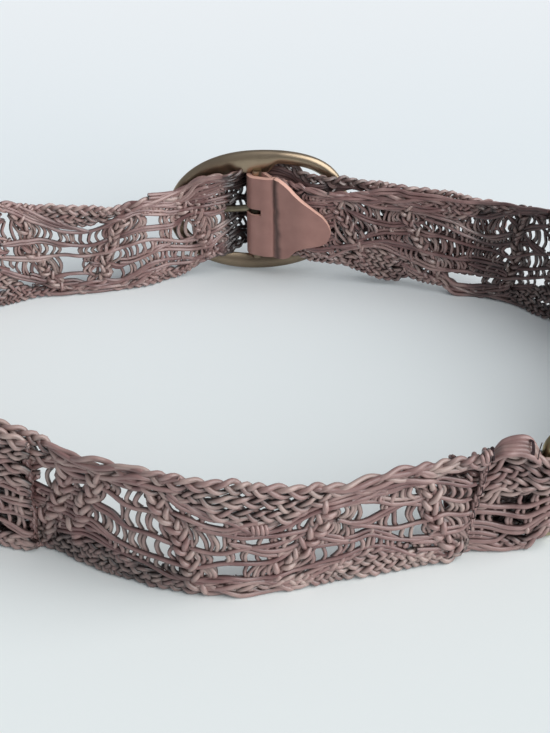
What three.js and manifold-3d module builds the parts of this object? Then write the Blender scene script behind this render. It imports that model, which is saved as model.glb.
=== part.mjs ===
// A wide openwork belt of plaited leather cord, fastened into a loop that stands on its lower edge.
// Millimetres, +Z up. The front run faces -Y and the buckle stands at the back, at +Y.
// Every braided panel is one pierced band that follows a plan route; the open channel of the braid is cut
// through in three rows of windows, and slanted ribs and dense corners stay solid.
import * as THREE from "three";
import { mergeVertices } from "three/addons/utils/BufferGeometryUtils.js";
import Module from "manifold-3d";

const wasm = await Module();
wasm.setup();

// Braid
const BRAID = 5.2; // thickness of the plaited band
const CLEAR = 0.4; // gap kept between pieces that touch
const RIB = 6; // width of a slanted rib
const BAR = 3.2; // width of the upright bars between windows
const EDGE = 0.08; // height of an edge plait, as a share of the band's height
const WINDOW = 0.13; // height of a window row, as a share of the band's height
const ROW = 0.18; // spacing of the three window rows
const WINDOW_ROWS = [2, 4, 6]; // strips of the band that hold windows, counted from the lower edge

// Fineness of the bands
const ROUTE_STEPS = 8; // samples between two stations of a route
const HEADING_STEP = 1; // distance to each side over which a route's direction is taken
const LONG_STEP = 16; // widest column of a band
const SHORT_STEP = 6; // widest column inside the buckle, where the bands bend in short curves
const SLANT_PASSES = 8; // rounds that settle where a row crosses a slanted column

// Rings at the sides
const RING_WIRE = 2.9; // radius of the ring's round section
const RING_WIDTH = 45; // centre line to centre line, along the belt
const RING_HEIGHT = 48.6; // centre line to centre line, upright
const RING_CORNER = 5; // corner radius of the centre line
const RING_Z = 27.5; // height of the ring's middle above the floor
const RING_SIDES = 10;
const FOLD = RING_WIRE + CLEAR + 0.2 + BRAID / 2; // radius of a band's middle where it turns round a ring
const FOLD_EASE = 18; // length in which the two legs of a fold come together
const FOLD_STEPS = 8;
const FLAP = 34; // length of the leg that is sewn down
const LOOP_FLAP = 42; // the same on the short loop, whose two legs are nearly equal

// Buckle
const BUCKLE = { x: -9.2, y: 128.5, z: 35 }; // middle of the frame
const FRAME_WIDTH = 90;
const FRAME_HEIGHT = 70;
const OPENING_WIDTH = 77;
const OPENING_HEIGHT = 50;
const FRAME_DEPTH = 5; // thickness of the domed frame
const FRAME_STEPS = 48;
const FRAME_SIDES = 10;
const BAR_SINK = 4; // how far the centre bar runs into the frame
const BAR_RADIUS = 2.5;
const BAR_SET = -1; // the bar's middle, measured outwards from the frame's middle plane
const BAR_SIDES = 16;

// Prong
const PRONG_HEIGHT = 3.8; // upright width at the eye
const PRONG_THICK = 2.8;
const PRONG_EYE = BAR_RADIUS + 0.3; // inner radius of the eye
const PRONG_EYE_WALL = 1.3;
const PRONG_EYE_STEPS = 20;
const PRONG_Z = 37.6; // height of the eye's middle
const PRONG_TIP_Z = 32.5;
const PRONG_SIDES = 8;

// Leather tab
const LEATHER = 1.6;
const TAB_FOLD = BAR_RADIUS + 0.3 + LEATHER / 2; // radius of the leather's middle round the bar
const SLOT_HEIGHT = 5.3;
const SLOT_REACH = 3.7; // how far the slot runs past the bar on each leaf
const TAB_PINCH = BRAID / 2 + 0.75 + LEATHER / 2; // leather's middle to the middle of the strap it holds
const OUTER_LEAF = 19; // length of the leaf that the tip of the belt hides

// Where the panels lie, seen from above: x and y of the band's middle, and the heights of its two edges.
// Inside the buckle the edges stay behind the frame while the middle bows out over the bar: lag says how far.
const BACK_ROUTE = [
  { x: -128, y: -78.5, low: 8.3, high: 46.7 },
  { x: -116, y: -85.5, low: 1, high: 61 },
  { x: -100, y: -91.5, low: 0, high: 60 },
  { x: -86.5, y: -98.8, low: 0, high: 56 },
  { x: -72.8, y: -107.5, low: 0, high: 58 },
  { x: -55.5, y: -116, low: 0, high: 60 },
  { x: -36, y: -121.8, low: 0, high: 60 },
  { x: -15, y: -124, low: 0, high: 59 },
  { x: 8, y: -119.5, low: 0, high: 54 },
  { x: 30, y: -114, low: 0, high: 51 },
  { x: 50, y: -108.5, low: 0, high: 54 },
  { x: 70, y: -103.6, low: 0, high: 54 },
  { x: 90, y: -100.6, low: 0, high: 57 },
];
const RING_LOOP_ROUTE = [
  { x: 113.5, y: -94, low: 8.3, high: 46.7 },
  { x: 104, y: -95, low: 0, high: 51 },
  { x: 92, y: -95, low: 0, high: 52.5 },
  { x: 80, y: -96, low: 0.5, high: 50 },
  { x: 70, y: -97.4, low: 1.5, high: 47 },
];
const RIGHT_ROUTE = [
  { x: 154.3, y: -67.5, low: 8.3, high: 46.7 },
  { x: 165, y: -54, low: 0, high: 59 },
  { x: 175, y: -30, low: 0, high: 61 },
  { x: 178.5, y: -2, low: 0, high: 60 },
  { x: 174, y: 25, low: 0, high: 61 },
  { x: 162, y: 50, low: 0, high: 62 },
  { x: 147, y: 70, low: 0, high: 63 },
  { x: 131, y: 86, low: 0, high: 60.5 },
  { x: 118, y: 97, low: 0, high: 57 },
  { x: 104, y: 102, low: 0, high: 55 },
  { x: 88, y: 105.5, low: 0, high: 54.5 },
  { x: 72, y: 110, low: 1, high: 53.5 },
  { x: 54, y: 114.2, low: 3.5, high: 54 },
  { x: 38, y: 116.1, low: 9, high: 53 },
  { x: 28, y: 116.5, low: 11, high: 53 },
  { x: 21, y: 117, low: 12, high: 54 },
  { x: 15, y: 118, low: 13, high: 55 },
  { x: 9, y: 120.7, low: 13, high: 56 },
  { x: 3, y: 123.6, low: 13, high: 57 },
  { x: -3, y: 126, low: 13, high: 57 },
];
const LEFT_ROUTE = [
  { x: -170.7, y: -58, low: 8.3, high: 46.7 },
  { x: -181, y: -42, low: 0, high: 59 },
  { x: -188, y: -18, low: 0, high: 61 },
  { x: -189, y: 8, low: 0, high: 61 },
  { x: -183, y: 34, low: 0, high: 62 },
  { x: -170, y: 59, low: 0, high: 62 },
  { x: -154, y: 79, low: 0, high: 61 },
  { x: -138, y: 92.8, low: 0, high: 60 },
  { x: -120, y: 102, low: 0, high: 54 },
  { x: -100, y: 105, low: 0, high: 52 },
  { x: -80, y: 109, low: 0, high: 49 },
  { x: -64, y: 113.5, low: 0, high: 51.5 },
  { x: -52, y: 120.3, low: 0, high: 51 },
  { x: -43, y: 122.5, low: 4, high: 53.5 },
  { x: -36, y: 123, low: 9.5, high: 56, lag: 1.1 },
  { x: -30, y: 126.2, low: 11.5, high: 57, lag: 4.3 },
  { x: -24, y: 130.6, low: 12.4, high: 57.2, lag: 8.3 },
  { x: -20, y: 133.2, low: 12.8, high: 57.2, lag: 7.3 },
  { x: -15, y: 135.2, low: 12.8, high: 57.2, lag: 1.5 },
  { x: -9, y: 135.6, low: 12.8, high: 57.2 },
  { x: -3, y: 134.8, low: 12.8, high: 57.2 },
  { x: 3, y: 132.8, low: 13, high: 57 },
  { x: 9, y: 130.2, low: 14.5, high: 55.5 },
  { x: 14, y: 126.9, low: 17, high: 53 },
  { x: 19, y: 123.7, low: 18, high: 52.4 },
  { x: 25, y: 122.6, low: 17, high: 53.5 },
  { x: 32, y: 122.3, low: 14, high: 55 },
  { x: 42, y: 121.9, low: 9, high: 57 },
  { x: 54, y: 119.9, low: 6, high: 56.5 },
  { x: 72, y: 115.8, low: 4, high: 56 },
  { x: 90, y: 110.9, low: 3, high: 55.5 },
  { x: 106, y: 107.4, low: 3, high: 53.5 },
  { x: 116, y: 105.2, low: 5, high: 51 },
];

// The braid's pattern: where each slanted rib meets the top and bottom edge, in mm along the route from the
// ring, how many windows stand between it and the next rib, and how high the open channel runs there.
const BACK_RIBS = [
  { top: 14, bottom: 8, windows: 0, channel: 0.5 },
  { top: 38, bottom: 31, windows: 1, channel: 0.48 },
  { top: 61, bottom: 45, windows: 3, channel: 0.62 },
  { top: 87, bottom: 110, windows: 4, channel: 0.38 },
  { top: 171, bottom: 134, windows: 3, channel: 0.62 },
  { top: 194, bottom: 205, windows: 1, channel: 0.48 },
  { top: 228, bottom: 216, windows: 0, channel: 0.48 },
];
const RING_LOOP_RIBS = [
  { top: 5, bottom: 5, windows: 1, channel: 0.46 },
  { top: 40, bottom: 40, windows: 0, channel: 0.46 },
];
const RIGHT_RIBS = [
  { top: 14, bottom: 8, windows: 0, channel: 0.5 },
  { top: 40, bottom: 30, windows: 2, channel: 0.6 },
  { top: 58, bottom: 78, windows: 2, channel: 0.4 },
  { top: 122, bottom: 100, windows: 2, channel: 0.6 },
  { top: 140, bottom: 162, windows: 2, channel: 0.4 },
  { top: 185, bottom: 195, windows: 2, channel: 0.42 },
  { top: 250, bottom: 224, windows: 1, channel: 0.6 },
  { top: 282, bottom: 266, windows: 0, channel: 0.5 },
  { top: 308, bottom: 308, windows: 0, channel: 0.5 },
];
const LEFT_RIBS = [
  { top: 14, bottom: 8, windows: 0, channel: 0.5 },
  { top: 40, bottom: 30, windows: 2, channel: 0.6 },
  { top: 58, bottom: 76, windows: 2, channel: 0.4 },
  { top: 118, bottom: 98, windows: 2, channel: 0.6 },
  { top: 136, bottom: 152, windows: 2, channel: 0.5 },
  { top: 180, bottom: 203, windows: 2, channel: 0.43 },
  { top: 243, bottom: 219, windows: 2, channel: 0.6 },
  { top: 266, bottom: 284, windows: 1, channel: 0.52, prong: true },
  { top: 306, bottom: 306, windows: 0, channel: 0.5 },
  { top: 350, bottom: 340, windows: 1, channel: 0.42 },
  { top: 374, bottom: 388, windows: 2, channel: 0.58 },
  { top: 434, bottom: 432, windows: 0, channel: 0.5 },
];

// The tab's outline: distance from the bar, and the heights of its edges.
const TAB_OUTLINE = [
  { out: 0, low: 11, high: 58.6 },
  { out: 7, low: 11.5, high: 58.2 },
  { out: 10.5, low: 11.9, high: 57 },
  { out: 14, low: 12.8, high: 53.5 },
  { out: 17, low: 13.3, high: 50.8 },
  { out: 20, low: 13.9, high: 48 },
  { out: 24, low: 17.3, high: 44.6 },
  { out: 30, low: 20.3, high: 40.6 },
  { out: 35, low: 23.2, high: 36.2 },
  { out: 38, low: 27, high: 31.4 },
];

function meshOf(name, geometry, look) {
  geometry.computeVertexNormals();
  const mesh = new THREE.Mesh(geometry, new THREE.MeshStandardMaterial(look));
  mesh.name = name;
  return mesh;
}

// Geometry from a list of corner points and a list of triangles that name them.
function geometryOf(vertices, triangles) {
  const geometry = new THREE.BufferGeometry();
  geometry.setAttribute("position", new THREE.Float32BufferAttribute(vertices.flat(), 3));
  geometry.setIndex(triangles.flat());
  return geometry;
}

// Solid for joining: the same surface with its corners welded.
function solidOf(geometry) {
  const bare = geometry.clone();
  bare.deleteAttribute("normal");
  bare.deleteAttribute("uv");
  const merged = mergeVertices(bare, 1e-4);
  return new wasm.Manifold(
    new wasm.Mesh({
      numProp: 3,
      vertProperties: new Float32Array(merged.attributes.position.array),
      triVerts: new Uint32Array(merged.index.array),
    }),
  );
}

function geometryFrom(solid) {
  const mesh = solid.getMesh();
  const geometry = new THREE.BufferGeometry();
  geometry.setAttribute("position", new THREE.BufferAttribute(mesh.vertProperties, 3));
  geometry.setIndex(new THREE.BufferAttribute(mesh.triVerts, 1));
  return geometry;
}

// Closed loop of equal sections, each a list of points, joined ring by ring.
function closedSweep(sections) {
  const around = sections[0].length;
  const triangles = [];
  for (let i = 0; i < sections.length; i++) {
    const next = (i + 1) % sections.length;
    for (let k = 0; k < around; k++) {
      const k1 = (k + 1) % around;
      const a = i * around + k;
      const b = next * around + k;
      const c = next * around + k1;
      const d = i * around + k1;
      triangles.push([a, b, c], [a, c, d]);
    }
  }
  return geometryOf(sections.flat(), triangles);
}

// Open run of equal sections, closed by a fan at each end.
function cappedSweep(sections) {
  const around = sections[0].length;
  const triangles = [];
  for (let i = 0; i + 1 < sections.length; i++) {
    for (let k = 0; k < around; k++) {
      const k1 = (k + 1) % around;
      const a = i * around + k;
      const b = (i + 1) * around + k;
      const c = (i + 1) * around + k1;
      const d = i * around + k1;
      triangles.push([a, b, c], [a, c, d]);
    }
  }
  const last = (sections.length - 1) * around;
  for (let k = 1; k + 1 < around; k++) {
    triangles.push([0, k, k + 1], [last, last + k + 1, last + k]);
  }
  return geometryOf(sections.flat(), triangles);
}

// A plan route as closely spaced samples, each with its distance from the first.
function measure(samples) {
  let reach = 0;
  return samples.map((sample, i) => {
    if (i > 0) reach += Math.hypot(sample.x - samples[i - 1].x, sample.y - samples[i - 1].y);
    return { ...sample, reach };
  });
}

function smoothRoute(stations) {
  const steps = (stations.length - 1) * ROUTE_STEPS;
  const curve = (value) => {
    const points = stations.map((s) => new THREE.Vector3(s.x, s.y, value(s)));
    return new THREE.CatmullRomCurve3(points, false, "catmullrom", 0.5);
  };
  const lower = curve((s) => s.low);
  const upper = curve((s) => s.high);
  const behind = curve((s) => s.lag ?? 0);
  const samples = [];
  for (let i = 0; i <= steps; i++) {
    const at = lower.getPoint(i / steps);
    const lag = behind.getPoint(i / steps).z;
    samples.push({ x: at.x, y: at.y, low: Math.max(at.z, 0), high: upper.getPoint(i / steps).z, lag });
  }
  return measure(samples);
}

// The sample at a distance along a measured route; beyond an end the end's direction is followed.
function along(route, reach) {
  let i = 1;
  while (i < route.length - 1 && route[i].reach < reach) i++;
  const a = route[i - 1];
  const b = route[i];
  const t = (reach - a.reach) / (b.reach - a.reach);
  const held = Math.min(Math.max(t, 0), 1);
  return {
    x: a.x + (b.x - a.x) * t,
    y: a.y + (b.y - a.y) * t,
    low: a.low + (b.low - a.low) * held,
    high: a.high + (b.high - a.high) * held,
    lag: a.lag + (b.lag - a.lag) * held,
  };
}

function heading(route, reach) {
  const a = along(route, reach - HEADING_STEP);
  const b = along(route, reach + HEADING_STEP);
  const length = Math.hypot(b.x - a.x, b.y - a.y);
  return { x: (b.x - a.x) / length, y: (b.y - a.y) / length };
}

// Adds a fold round a bar before a route's start. side is 1 for a bar on the left of the route and -1 for one
// on its right; the folded leg lies on that side and is flap mm long. Distances stay measured from the bar.
function withFold(stations, side, flap, radius, spacing, steps) {
  const main = smoothRoute(stations);
  const start = main[0];
  const way = heading(main, 0);
  const left = { x: -way.y * side, y: way.x * side };
  const bar = { x: start.x + left.x * radius, y: start.y + left.y * radius };
  const turned = [];
  for (let k = 0; k <= steps; k++) {
    const angle = (Math.PI * k) / steps;
    const out = Math.cos(angle) * radius;
    const back = Math.sin(angle) * radius;
    turned.push({
      x: bar.x + left.x * out - way.x * back,
      y: bar.y + left.y * out - way.y * back,
      low: start.low,
      high: start.high,
      lag: 0,
    });
  }
  const folded = [];
  const flapSteps = Math.ceil(flap / 2);
  for (let k = flapSteps; k > 0; k--) {
    const reach = (flap * k) / flapSteps;
    const here = along(main, reach);
    const toward = heading(main, reach);
    const ease = Math.min(reach / FOLD_EASE, 1);
    const apart = 2 * radius + (spacing - 2 * radius) * ease * ease * (3 - 2 * ease);
    folded.push({
      x: here.x - toward.y * side * apart,
      y: here.y + toward.x * side * apart,
      low: here.low,
      high: here.high,
      lag: 0,
    });
  }
  const all = measure([...folded, ...turned.slice(0, -1), ...main]);
  const zero = all[folded.length + steps].reach;
  return {
    samples: all.map((sample) => ({ ...sample, reach: sample.reach - zero })),
    bar,
    turn: zero - all[folded.length].reach,
    flap: all[folded.length].reach,
    length: all[all.length - 1].reach - zero,
  };
}

// A pierced or plain band over a route. columns are upright or slanted lines { top, bottom } in mm along the
// route, cells says which cells are open, and rows gives each line's share of the height at a distance.
function band({ route, columns, rows, open, thickness }) {
  const rowCount = rows(0).length;
  const place = (reach, share) => {
    const here = along(route, reach);
    const behind = here.lag * (2 * share - 1) ** 2;
    return new THREE.Vector3(here.x, here.y - behind, here.low + (here.high - here.low) * share);
  };
  const nodes = columns.map((column) => {
    const line = [];
    for (let i = 0; i < rowCount; i++) {
      let share = i / (rowCount - 1);
      let reach = column.bottom;
      for (let pass = 0; pass < SLANT_PASSES; pass++) {
        reach = column.bottom + (column.top - column.bottom) * share;
        share = rows(reach)[i];
      }
      line.push({ reach, share });
    }
    return line;
  });
  const vertices = [];
  const index = (j, i, face) => (j * rowCount + i) * 2 + face;
  const rise = EDGE / 2;
  nodes.forEach((line) => {
    line.forEach(({ reach, share }) => {
      const at = place(reach, share);
      const ahead = place(reach + HEADING_STEP, share).sub(place(reach - HEADING_STEP, share));
      const up = place(reach, Math.min(share + rise, 1)).sub(place(reach, Math.max(share - rise, 0)));
      const normal = ahead.cross(up).normalize();
      for (const half of [0.5, -0.5]) {
        const point = at.clone().addScaledVector(normal, thickness * half);
        vertices.push([point.x, point.y, point.z]);
      }
    });
  });
  const solid = (j, i) => {
    const inside = j >= 0 && i >= 0 && j < columns.length - 1 && i < rowCount - 1;
    return inside && !open(j, i);
  };
  const triangles = [];
  const wall = (p, q) => {
    triangles.push([q, p, p + 1], [q, p + 1, q + 1]);
  };
  for (let j = 0; j < columns.length - 1; j++) {
    for (let i = 0; i < rowCount - 1; i++) {
      if (!solid(j, i)) continue;
      const a = index(j, i, 0);
      const b = index(j + 1, i, 0);
      const c = index(j + 1, i + 1, 0);
      const d = index(j, i + 1, 0);
      triangles.push([a, b, c], [a, c, d], [a + 1, c + 1, b + 1], [a + 1, d + 1, c + 1]);
      if (!solid(j, i - 1)) wall(a, b);
      if (!solid(j + 1, i)) wall(b, c);
      if (!solid(j, i + 1)) wall(c, d);
      if (!solid(j - 1, i)) wall(d, a);
    }
  }
  return geometryOf(vertices, triangles);
}

// Rows of the braid: edge plait, dense corner, three window rows with float rows between, corner and edge.
function braidRows(ribs) {
  const knots = [];
  ribs.forEach((rib, i) => {
    const next = ribs[Math.min(i + 1, ribs.length - 1)];
    const middle = (rib.top + rib.bottom + next.top + next.bottom) / 4;
    knots.push({ reach: middle, channel: rib.channel });
  });
  const channelAt = (reach) => {
    let i = 0;
    while (i < knots.length - 2 && knots[i + 1].reach < reach) i++;
    const a = knots[i];
    const b = knots[i + 1];
    const t = Math.min(Math.max((reach - a.reach) / (b.reach - a.reach), 0), 1);
    return a.channel + (b.channel - a.channel) * t * t * (3 - 2 * t);
  };
  const half = WINDOW / 2;
  return (reach) => {
    const channel = channelAt(reach);
    const lines = [0, EDGE];
    for (const row of [-ROW, 0, ROW]) lines.push(channel + row - half, channel + row + half);
    lines.push(1 - EDGE, 1);
    return lines;
  };
}

// Columns of the braid: the folded flap, the turn round the ring, then ribs with windows between them.
function braidColumns(ribs, fold) {
  const columns = [];
  const flapEnd = -fold.turn - fold.flap;
  columns.push({ top: flapEnd, bottom: flapEnd, open: false });
  for (let k = 0; k <= FOLD_STEPS; k++) {
    const reach = (-fold.turn * (FOLD_STEPS - k)) / FOLD_STEPS;
    columns.push({ top: reach, bottom: reach, open: false });
  }
  ribs.forEach((rib, i) => {
    const next = ribs[i + 1];
    columns.push({ top: rib.top - RIB / 2, bottom: rib.bottom - RIB / 2, open: false });
    if (!next || rib.windows === 0) {
      columns.push({ top: rib.top + RIB / 2, bottom: rib.bottom + RIB / 2, open: false });
      return;
    }
    const from = { top: rib.top + RIB / 2, bottom: rib.bottom + RIB / 2 };
    const to = { top: next.top - RIB / 2, bottom: next.bottom - RIB / 2 };
    const count = rib.windows;
    const share = (t) => ({
      top: from.top + (to.top - from.top) * t,
      bottom: from.bottom + (to.bottom - from.bottom) * t,
    });
    const run = (to.top - from.top + to.bottom - from.bottom) / 2;
    const bar = BAR / run;
    const window = (1 - bar * (count - 1)) / count;
    for (let k = 0; k < count; k++) {
      columns.push({ ...share(k * (window + bar)), open: true, prong: rib.prong });
      if (k + 1 < count) columns.push({ ...share(k * (window + bar) + window), open: false });
    }
  });
  return columns;
}

// Splits wide columns, most closely inside the buckle, where the bands bend in short curves.
function finer(columns, fold) {
  const fine = [];
  columns.forEach((column, j) => {
    fine.push(column);
    const next = columns[j + 1];
    if (!next) return;
    const middle = (column.top + column.bottom + next.top + next.bottom) / 4;
    const here = along(fold.samples, middle);
    const nearBuckle = Math.hypot(here.x - BUCKLE.x, here.y - BUCKLE.y) < FRAME_WIDTH / 2 + SHORT_STEP;
    const step = nearBuckle ? SHORT_STEP : LONG_STEP;
    const width = Math.max(next.top - column.top, next.bottom - column.bottom);
    const parts = Math.ceil(width / step);
    for (let k = 1; k < parts; k++) {
      const t = k / parts;
      const top = column.top + (next.top - column.top) * t;
      const bottom = column.bottom + (next.bottom - column.bottom) * t;
      fine.push({ ...column, top, bottom });
    }
  });
  return fine;
}

// Round-cornered upright ring in the plane through two bar positions.
function sideRing(name, near, far, z) {
  const wide = { x: (far.x - near.x) / RING_WIDTH, y: (far.y - near.y) / RING_WIDTH };
  const middle = { x: (near.x + far.x) / 2, y: (near.y + far.y) / 2 };
  const path = [];
  const cornerSteps = 5;
  const straightX = RING_WIDTH / 2 - RING_CORNER;
  const straightZ = RING_HEIGHT / 2 - RING_CORNER;
  const corners = [
    { x: straightX, z: straightZ, from: 0 },
    { x: -straightX, z: straightZ, from: 90 },
    { x: -straightX, z: -straightZ, from: 180 },
    { x: straightX, z: -straightZ, from: 270 },
  ];
  for (const corner of corners) {
    for (let k = 0; k <= cornerSteps; k++) {
      const angle = THREE.MathUtils.degToRad(corner.from + (90 * k) / cornerSteps);
      const out = { x: Math.cos(angle), z: Math.sin(angle) };
      path.push({ x: corner.x + out.x * RING_CORNER, z: corner.z + out.z * RING_CORNER, out });
    }
  }
  const sections = path.map(({ x, z: up, out }) => {
    const section = [];
    for (let k = 0; k < RING_SIDES; k++) {
      const angle = (2 * Math.PI * k) / RING_SIDES;
      const radial = Math.cos(angle) * RING_WIRE;
      const aside = Math.sin(angle) * RING_WIRE;
      const across = x + out.x * radial;
      section.push([
        middle.x + wide.x * across + wide.y * aside,
        middle.y + wide.y * across - wide.x * aside,
        z + up + out.z * radial,
      ]);
    }
    return section;
  });
  return meshOf(name, closedSweep(sections), { color: 0x8a7a4e, roughness: 0.4, metalness: 0.85 });
}

// Oval frame with a domed section, and its centre bar.
function buckleFrame() {
  const sections = [];
  for (let i = 0; i < FRAME_STEPS; i++) {
    const angle = (2 * Math.PI * i) / FRAME_STEPS;
    const outer = { x: (FRAME_WIDTH / 2) * Math.cos(angle), z: (FRAME_HEIGHT / 2) * Math.sin(angle) };
    const inner = { x: (OPENING_WIDTH / 2) * Math.cos(angle), z: (OPENING_HEIGHT / 2) * Math.sin(angle) };
    const section = [];
    for (let k = 0; k < FRAME_SIDES; k++) {
      const turn = (2 * Math.PI * k) / FRAME_SIDES;
      const share = 0.5 + 0.5 * Math.cos(turn);
      section.push([
        inner.x + (outer.x - inner.x) * share,
        (-FRAME_DEPTH / 2) * Math.sin(turn),
        inner.z + (outer.z - inner.z) * share,
      ]);
    }
    sections.push(section);
  }
  const reach = OPENING_HEIGHT / 2 + BAR_SINK;
  const bar = new THREE.CylinderGeometry(BAR_RADIUS, BAR_RADIUS, 2 * reach, BAR_SIDES);
  bar.rotateX(Math.PI / 2);
  bar.translate(0, BAR_SET, 0);
  const joined = solidOf(closedSweep(sections)).add(solidOf(bar));
  const look = { color: 0x7d7052, roughness: 0.38, metalness: 0.85 };
  const frame = meshOf("buckle_frame", geometryFrom(joined), look);
  frame.position.set(BUCKLE.x, BUCKLE.y, BUCKLE.z);
  return frame;
}

// Tongue of the buckle: an eye round the bar and a shank that narrows to a tip on the frame's left end.
function prong() {
  const eyeOuter = PRONG_EYE + PRONG_EYE_WALL;
  const eyeSection = [
    new THREE.Vector2(PRONG_EYE, -PRONG_HEIGHT / 2),
    new THREE.Vector2(eyeOuter, -PRONG_HEIGHT / 2),
    new THREE.Vector2(eyeOuter, PRONG_HEIGHT / 2),
    new THREE.Vector2(PRONG_EYE, PRONG_HEIGHT / 2),
    new THREE.Vector2(PRONG_EYE, -PRONG_HEIGHT / 2),
  ];
  const eye = new THREE.LatheGeometry(eyeSection, PRONG_EYE_STEPS);
  eye.rotateX(Math.PI / 2);
  eye.translate(0, BAR_SET, PRONG_Z - BUCKLE.z);
  const drop = PRONG_TIP_Z - PRONG_Z;
  const stations = [
    { x: -3.2, y: BAR_SET, share: 0, wide: 1, thick: 0.9 },
    { x: -10, y: BAR_SET + 0.7, share: 0.18, wide: 0.95, thick: 1 },
    { x: -30, y: 2.3, share: 0.68, wide: 0.9, thick: 1 },
    { x: -38, y: 4, share: 0.88, wide: 0.85, thick: 0.9 },
    { x: -42, y: 4.3, share: 0.97, wide: 0.7, thick: 0.8 },
    { x: -44, y: 4.1, share: 1, wide: 0.35, thick: 0.5 },
  ];
  const sections = stations.map(({ x, y, share, wide, thick }) => {
    const section = [];
    for (let k = 0; k < PRONG_SIDES; k++) {
      const angle = (2 * Math.PI * (k + 0.5)) / PRONG_SIDES;
      const across = (Math.cos(angle) * PRONG_THICK * thick) / 2;
      const up = (Math.sin(angle) * PRONG_HEIGHT * wide) / 2;
      section.push([x, y + across, PRONG_Z - BUCKLE.z + drop * share + up]);
    }
    return section;
  });
  const shank = cappedSweep(sections);
  const joined = solidOf(eye).add(solidOf(shank));
  const mesh = meshOf("prong", geometryFrom(joined), { color: 0x8b8468, roughness: 0.35, metalness: 0.85 });
  mesh.position.set(BUCKLE.x, BUCKLE.y, BUCKLE.z);
  return mesh;
}

// One braided panel: a pierced band with its end folded round a ring.
function panel(name, stations, side, flap, ribs, color) {
  const fold = withFold(stations, side, flap, FOLD, BRAID + CLEAR, FOLD_STEPS);
  const columns = finer(braidColumns(ribs, fold), fold);
  const rows = braidRows(ribs);
  const open = (j, i) => {
    const rowsHere = columns[j].prong ? [WINDOW_ROWS[1]] : WINDOW_ROWS;
    return columns[j].open && rowsHere.includes(i);
  };
  const geometry = band({ route: fold.samples, columns, rows, open, thickness: BRAID });
  return { mesh: meshOf(name, geometry, { color, roughness: 0.6, metalness: 0 }), bar: fold.bar, fold };
}

// Leather strip folded round the bar, a leaf on each side of the strap that it pinches.
function leatherTab(strap) {
  const bar = { x: BUCKLE.x, y: BUCKLE.y + BAR_SET };
  const end = along(strap.fold.samples, strap.fold.length);
  const stations = TAB_OUTLINE.map(({ out, low, high }) => {
    const reach = strap.fold.length - (out - (end.x - bar.x));
    const here = along(strap.fold.samples, reach);
    const toward = heading(strap.fold.samples, reach);
    return { x: here.x - toward.y * TAB_PINCH, y: here.y + toward.x * TAB_PINCH, low, high };
  });
  // The leaf starts at the side of the bar, square to its own direction.
  const way = { x: stations[1].x - stations[0].x, y: stations[1].y - stations[0].y };
  const length = Math.hypot(way.x, way.y);
  stations[0].x = bar.x + (way.y / length) * TAB_FOLD;
  stations[0].y = bar.y - (way.x / length) * TAB_FOLD;
  const fold = withFold(stations, 1, OUTER_LEAF, TAB_FOLD, 2 * TAB_PINCH, FOLD_STEPS);
  const reaches = [];
  const leafSteps = Math.ceil((OUTER_LEAF - SLOT_REACH) / SHORT_STEP);
  for (let k = 0; k <= leafSteps; k++) {
    const out = OUTER_LEAF + ((SLOT_REACH - OUTER_LEAF) * k) / leafSteps;
    reaches.push(-fold.turn - out);
  }
  for (let k = 0; k <= FOLD_STEPS; k++) reaches.push((-fold.turn * (FOLD_STEPS - k)) / FOLD_STEPS);
  reaches.push(SLOT_REACH);
  const scale = fold.length / TAB_OUTLINE[TAB_OUTLINE.length - 1].out;
  for (const { out } of TAB_OUTLINE.slice(1)) reaches.push(out * scale);
  reaches.sort((a, b) => a - b);
  const columns = reaches.map((reach) => ({ top: reach, bottom: reach }));
  const height = TAB_OUTLINE[0].high - TAB_OUTLINE[0].low;
  const slotFrom = (PRONG_Z - SLOT_HEIGHT / 2 - TAB_OUTLINE[0].low) / height;
  const slotTo = (PRONG_Z + SLOT_HEIGHT / 2 - TAB_OUTLINE[0].low) / height;
  const rows = () => [0, slotFrom, slotTo, 1];
  const open = (j, i) => i === 1 && reaches[j] >= -fold.turn - SLOT_REACH && reaches[j + 1] <= SLOT_REACH;
  const geometry = band({ route: fold.samples, columns, rows, open, thickness: LEATHER });
  return meshOf("leather_tab", geometry, { color: 0x9c6a5c, roughness: 0.7, metalness: 0 });
}

// Position of the far bar of a ring: a ring's width along its direction from the near bar.
function acrossRing(near, far) {
  const dx = far.x - near.x;
  const dy = far.y - near.y;
  const length = Math.hypot(dx, dy);
  return { x: near.x + (dx / length) * RING_WIDTH, y: near.y + (dy / length) * RING_WIDTH };
}

const back = panel("back_panel", BACK_ROUTE, -1, FLAP, BACK_RIBS, 0x8d7068);
const loop = panel("right_ring_loop", RING_LOOP_ROUTE, -1, LOOP_FLAP, RING_LOOP_RIBS, 0x8d7068);
const right = panel("right_side_panel", RIGHT_ROUTE, 1, FLAP, RIGHT_RIBS, 0x6f5750);
const left = panel("left_side_panel", LEFT_ROUTE, -1, FLAP, LEFT_RIBS, 0x93766c);

const belt = new THREE.Group();
belt.name = "wide_braided_belt";
belt.add(back.mesh, loop.mesh, right.mesh, left.mesh);
belt.add(sideRing("ring_right", loop.bar, acrossRing(loop.bar, right.bar), RING_Z));
belt.add(sideRing("ring_left", back.bar, acrossRing(back.bar, left.bar), RING_Z));
belt.add(buckleFrame(), prong(), leatherTab(right));

// The origin is the middle of the space that the belt fills, on the floor.
const size = new THREE.Box3().setFromObject(belt);
const middle = size.getCenter(new THREE.Vector3());
belt.position.set(-middle.x, -middle.y, -size.min.z);

export default belt;
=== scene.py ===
# %% [markdown]
# # A wide braided leather belt
# The belt is plaited from round leather cord. It is fastened into a loop and stands on its lower edge, so the
# camera sees the outer face of the near run and the inner face of the far run. This lesson dresses a packed
# CAD model of it: the CAD holds the sizes and places, and every piece made here is fitted to them.

# %% Load the fixed frame
import math

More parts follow.
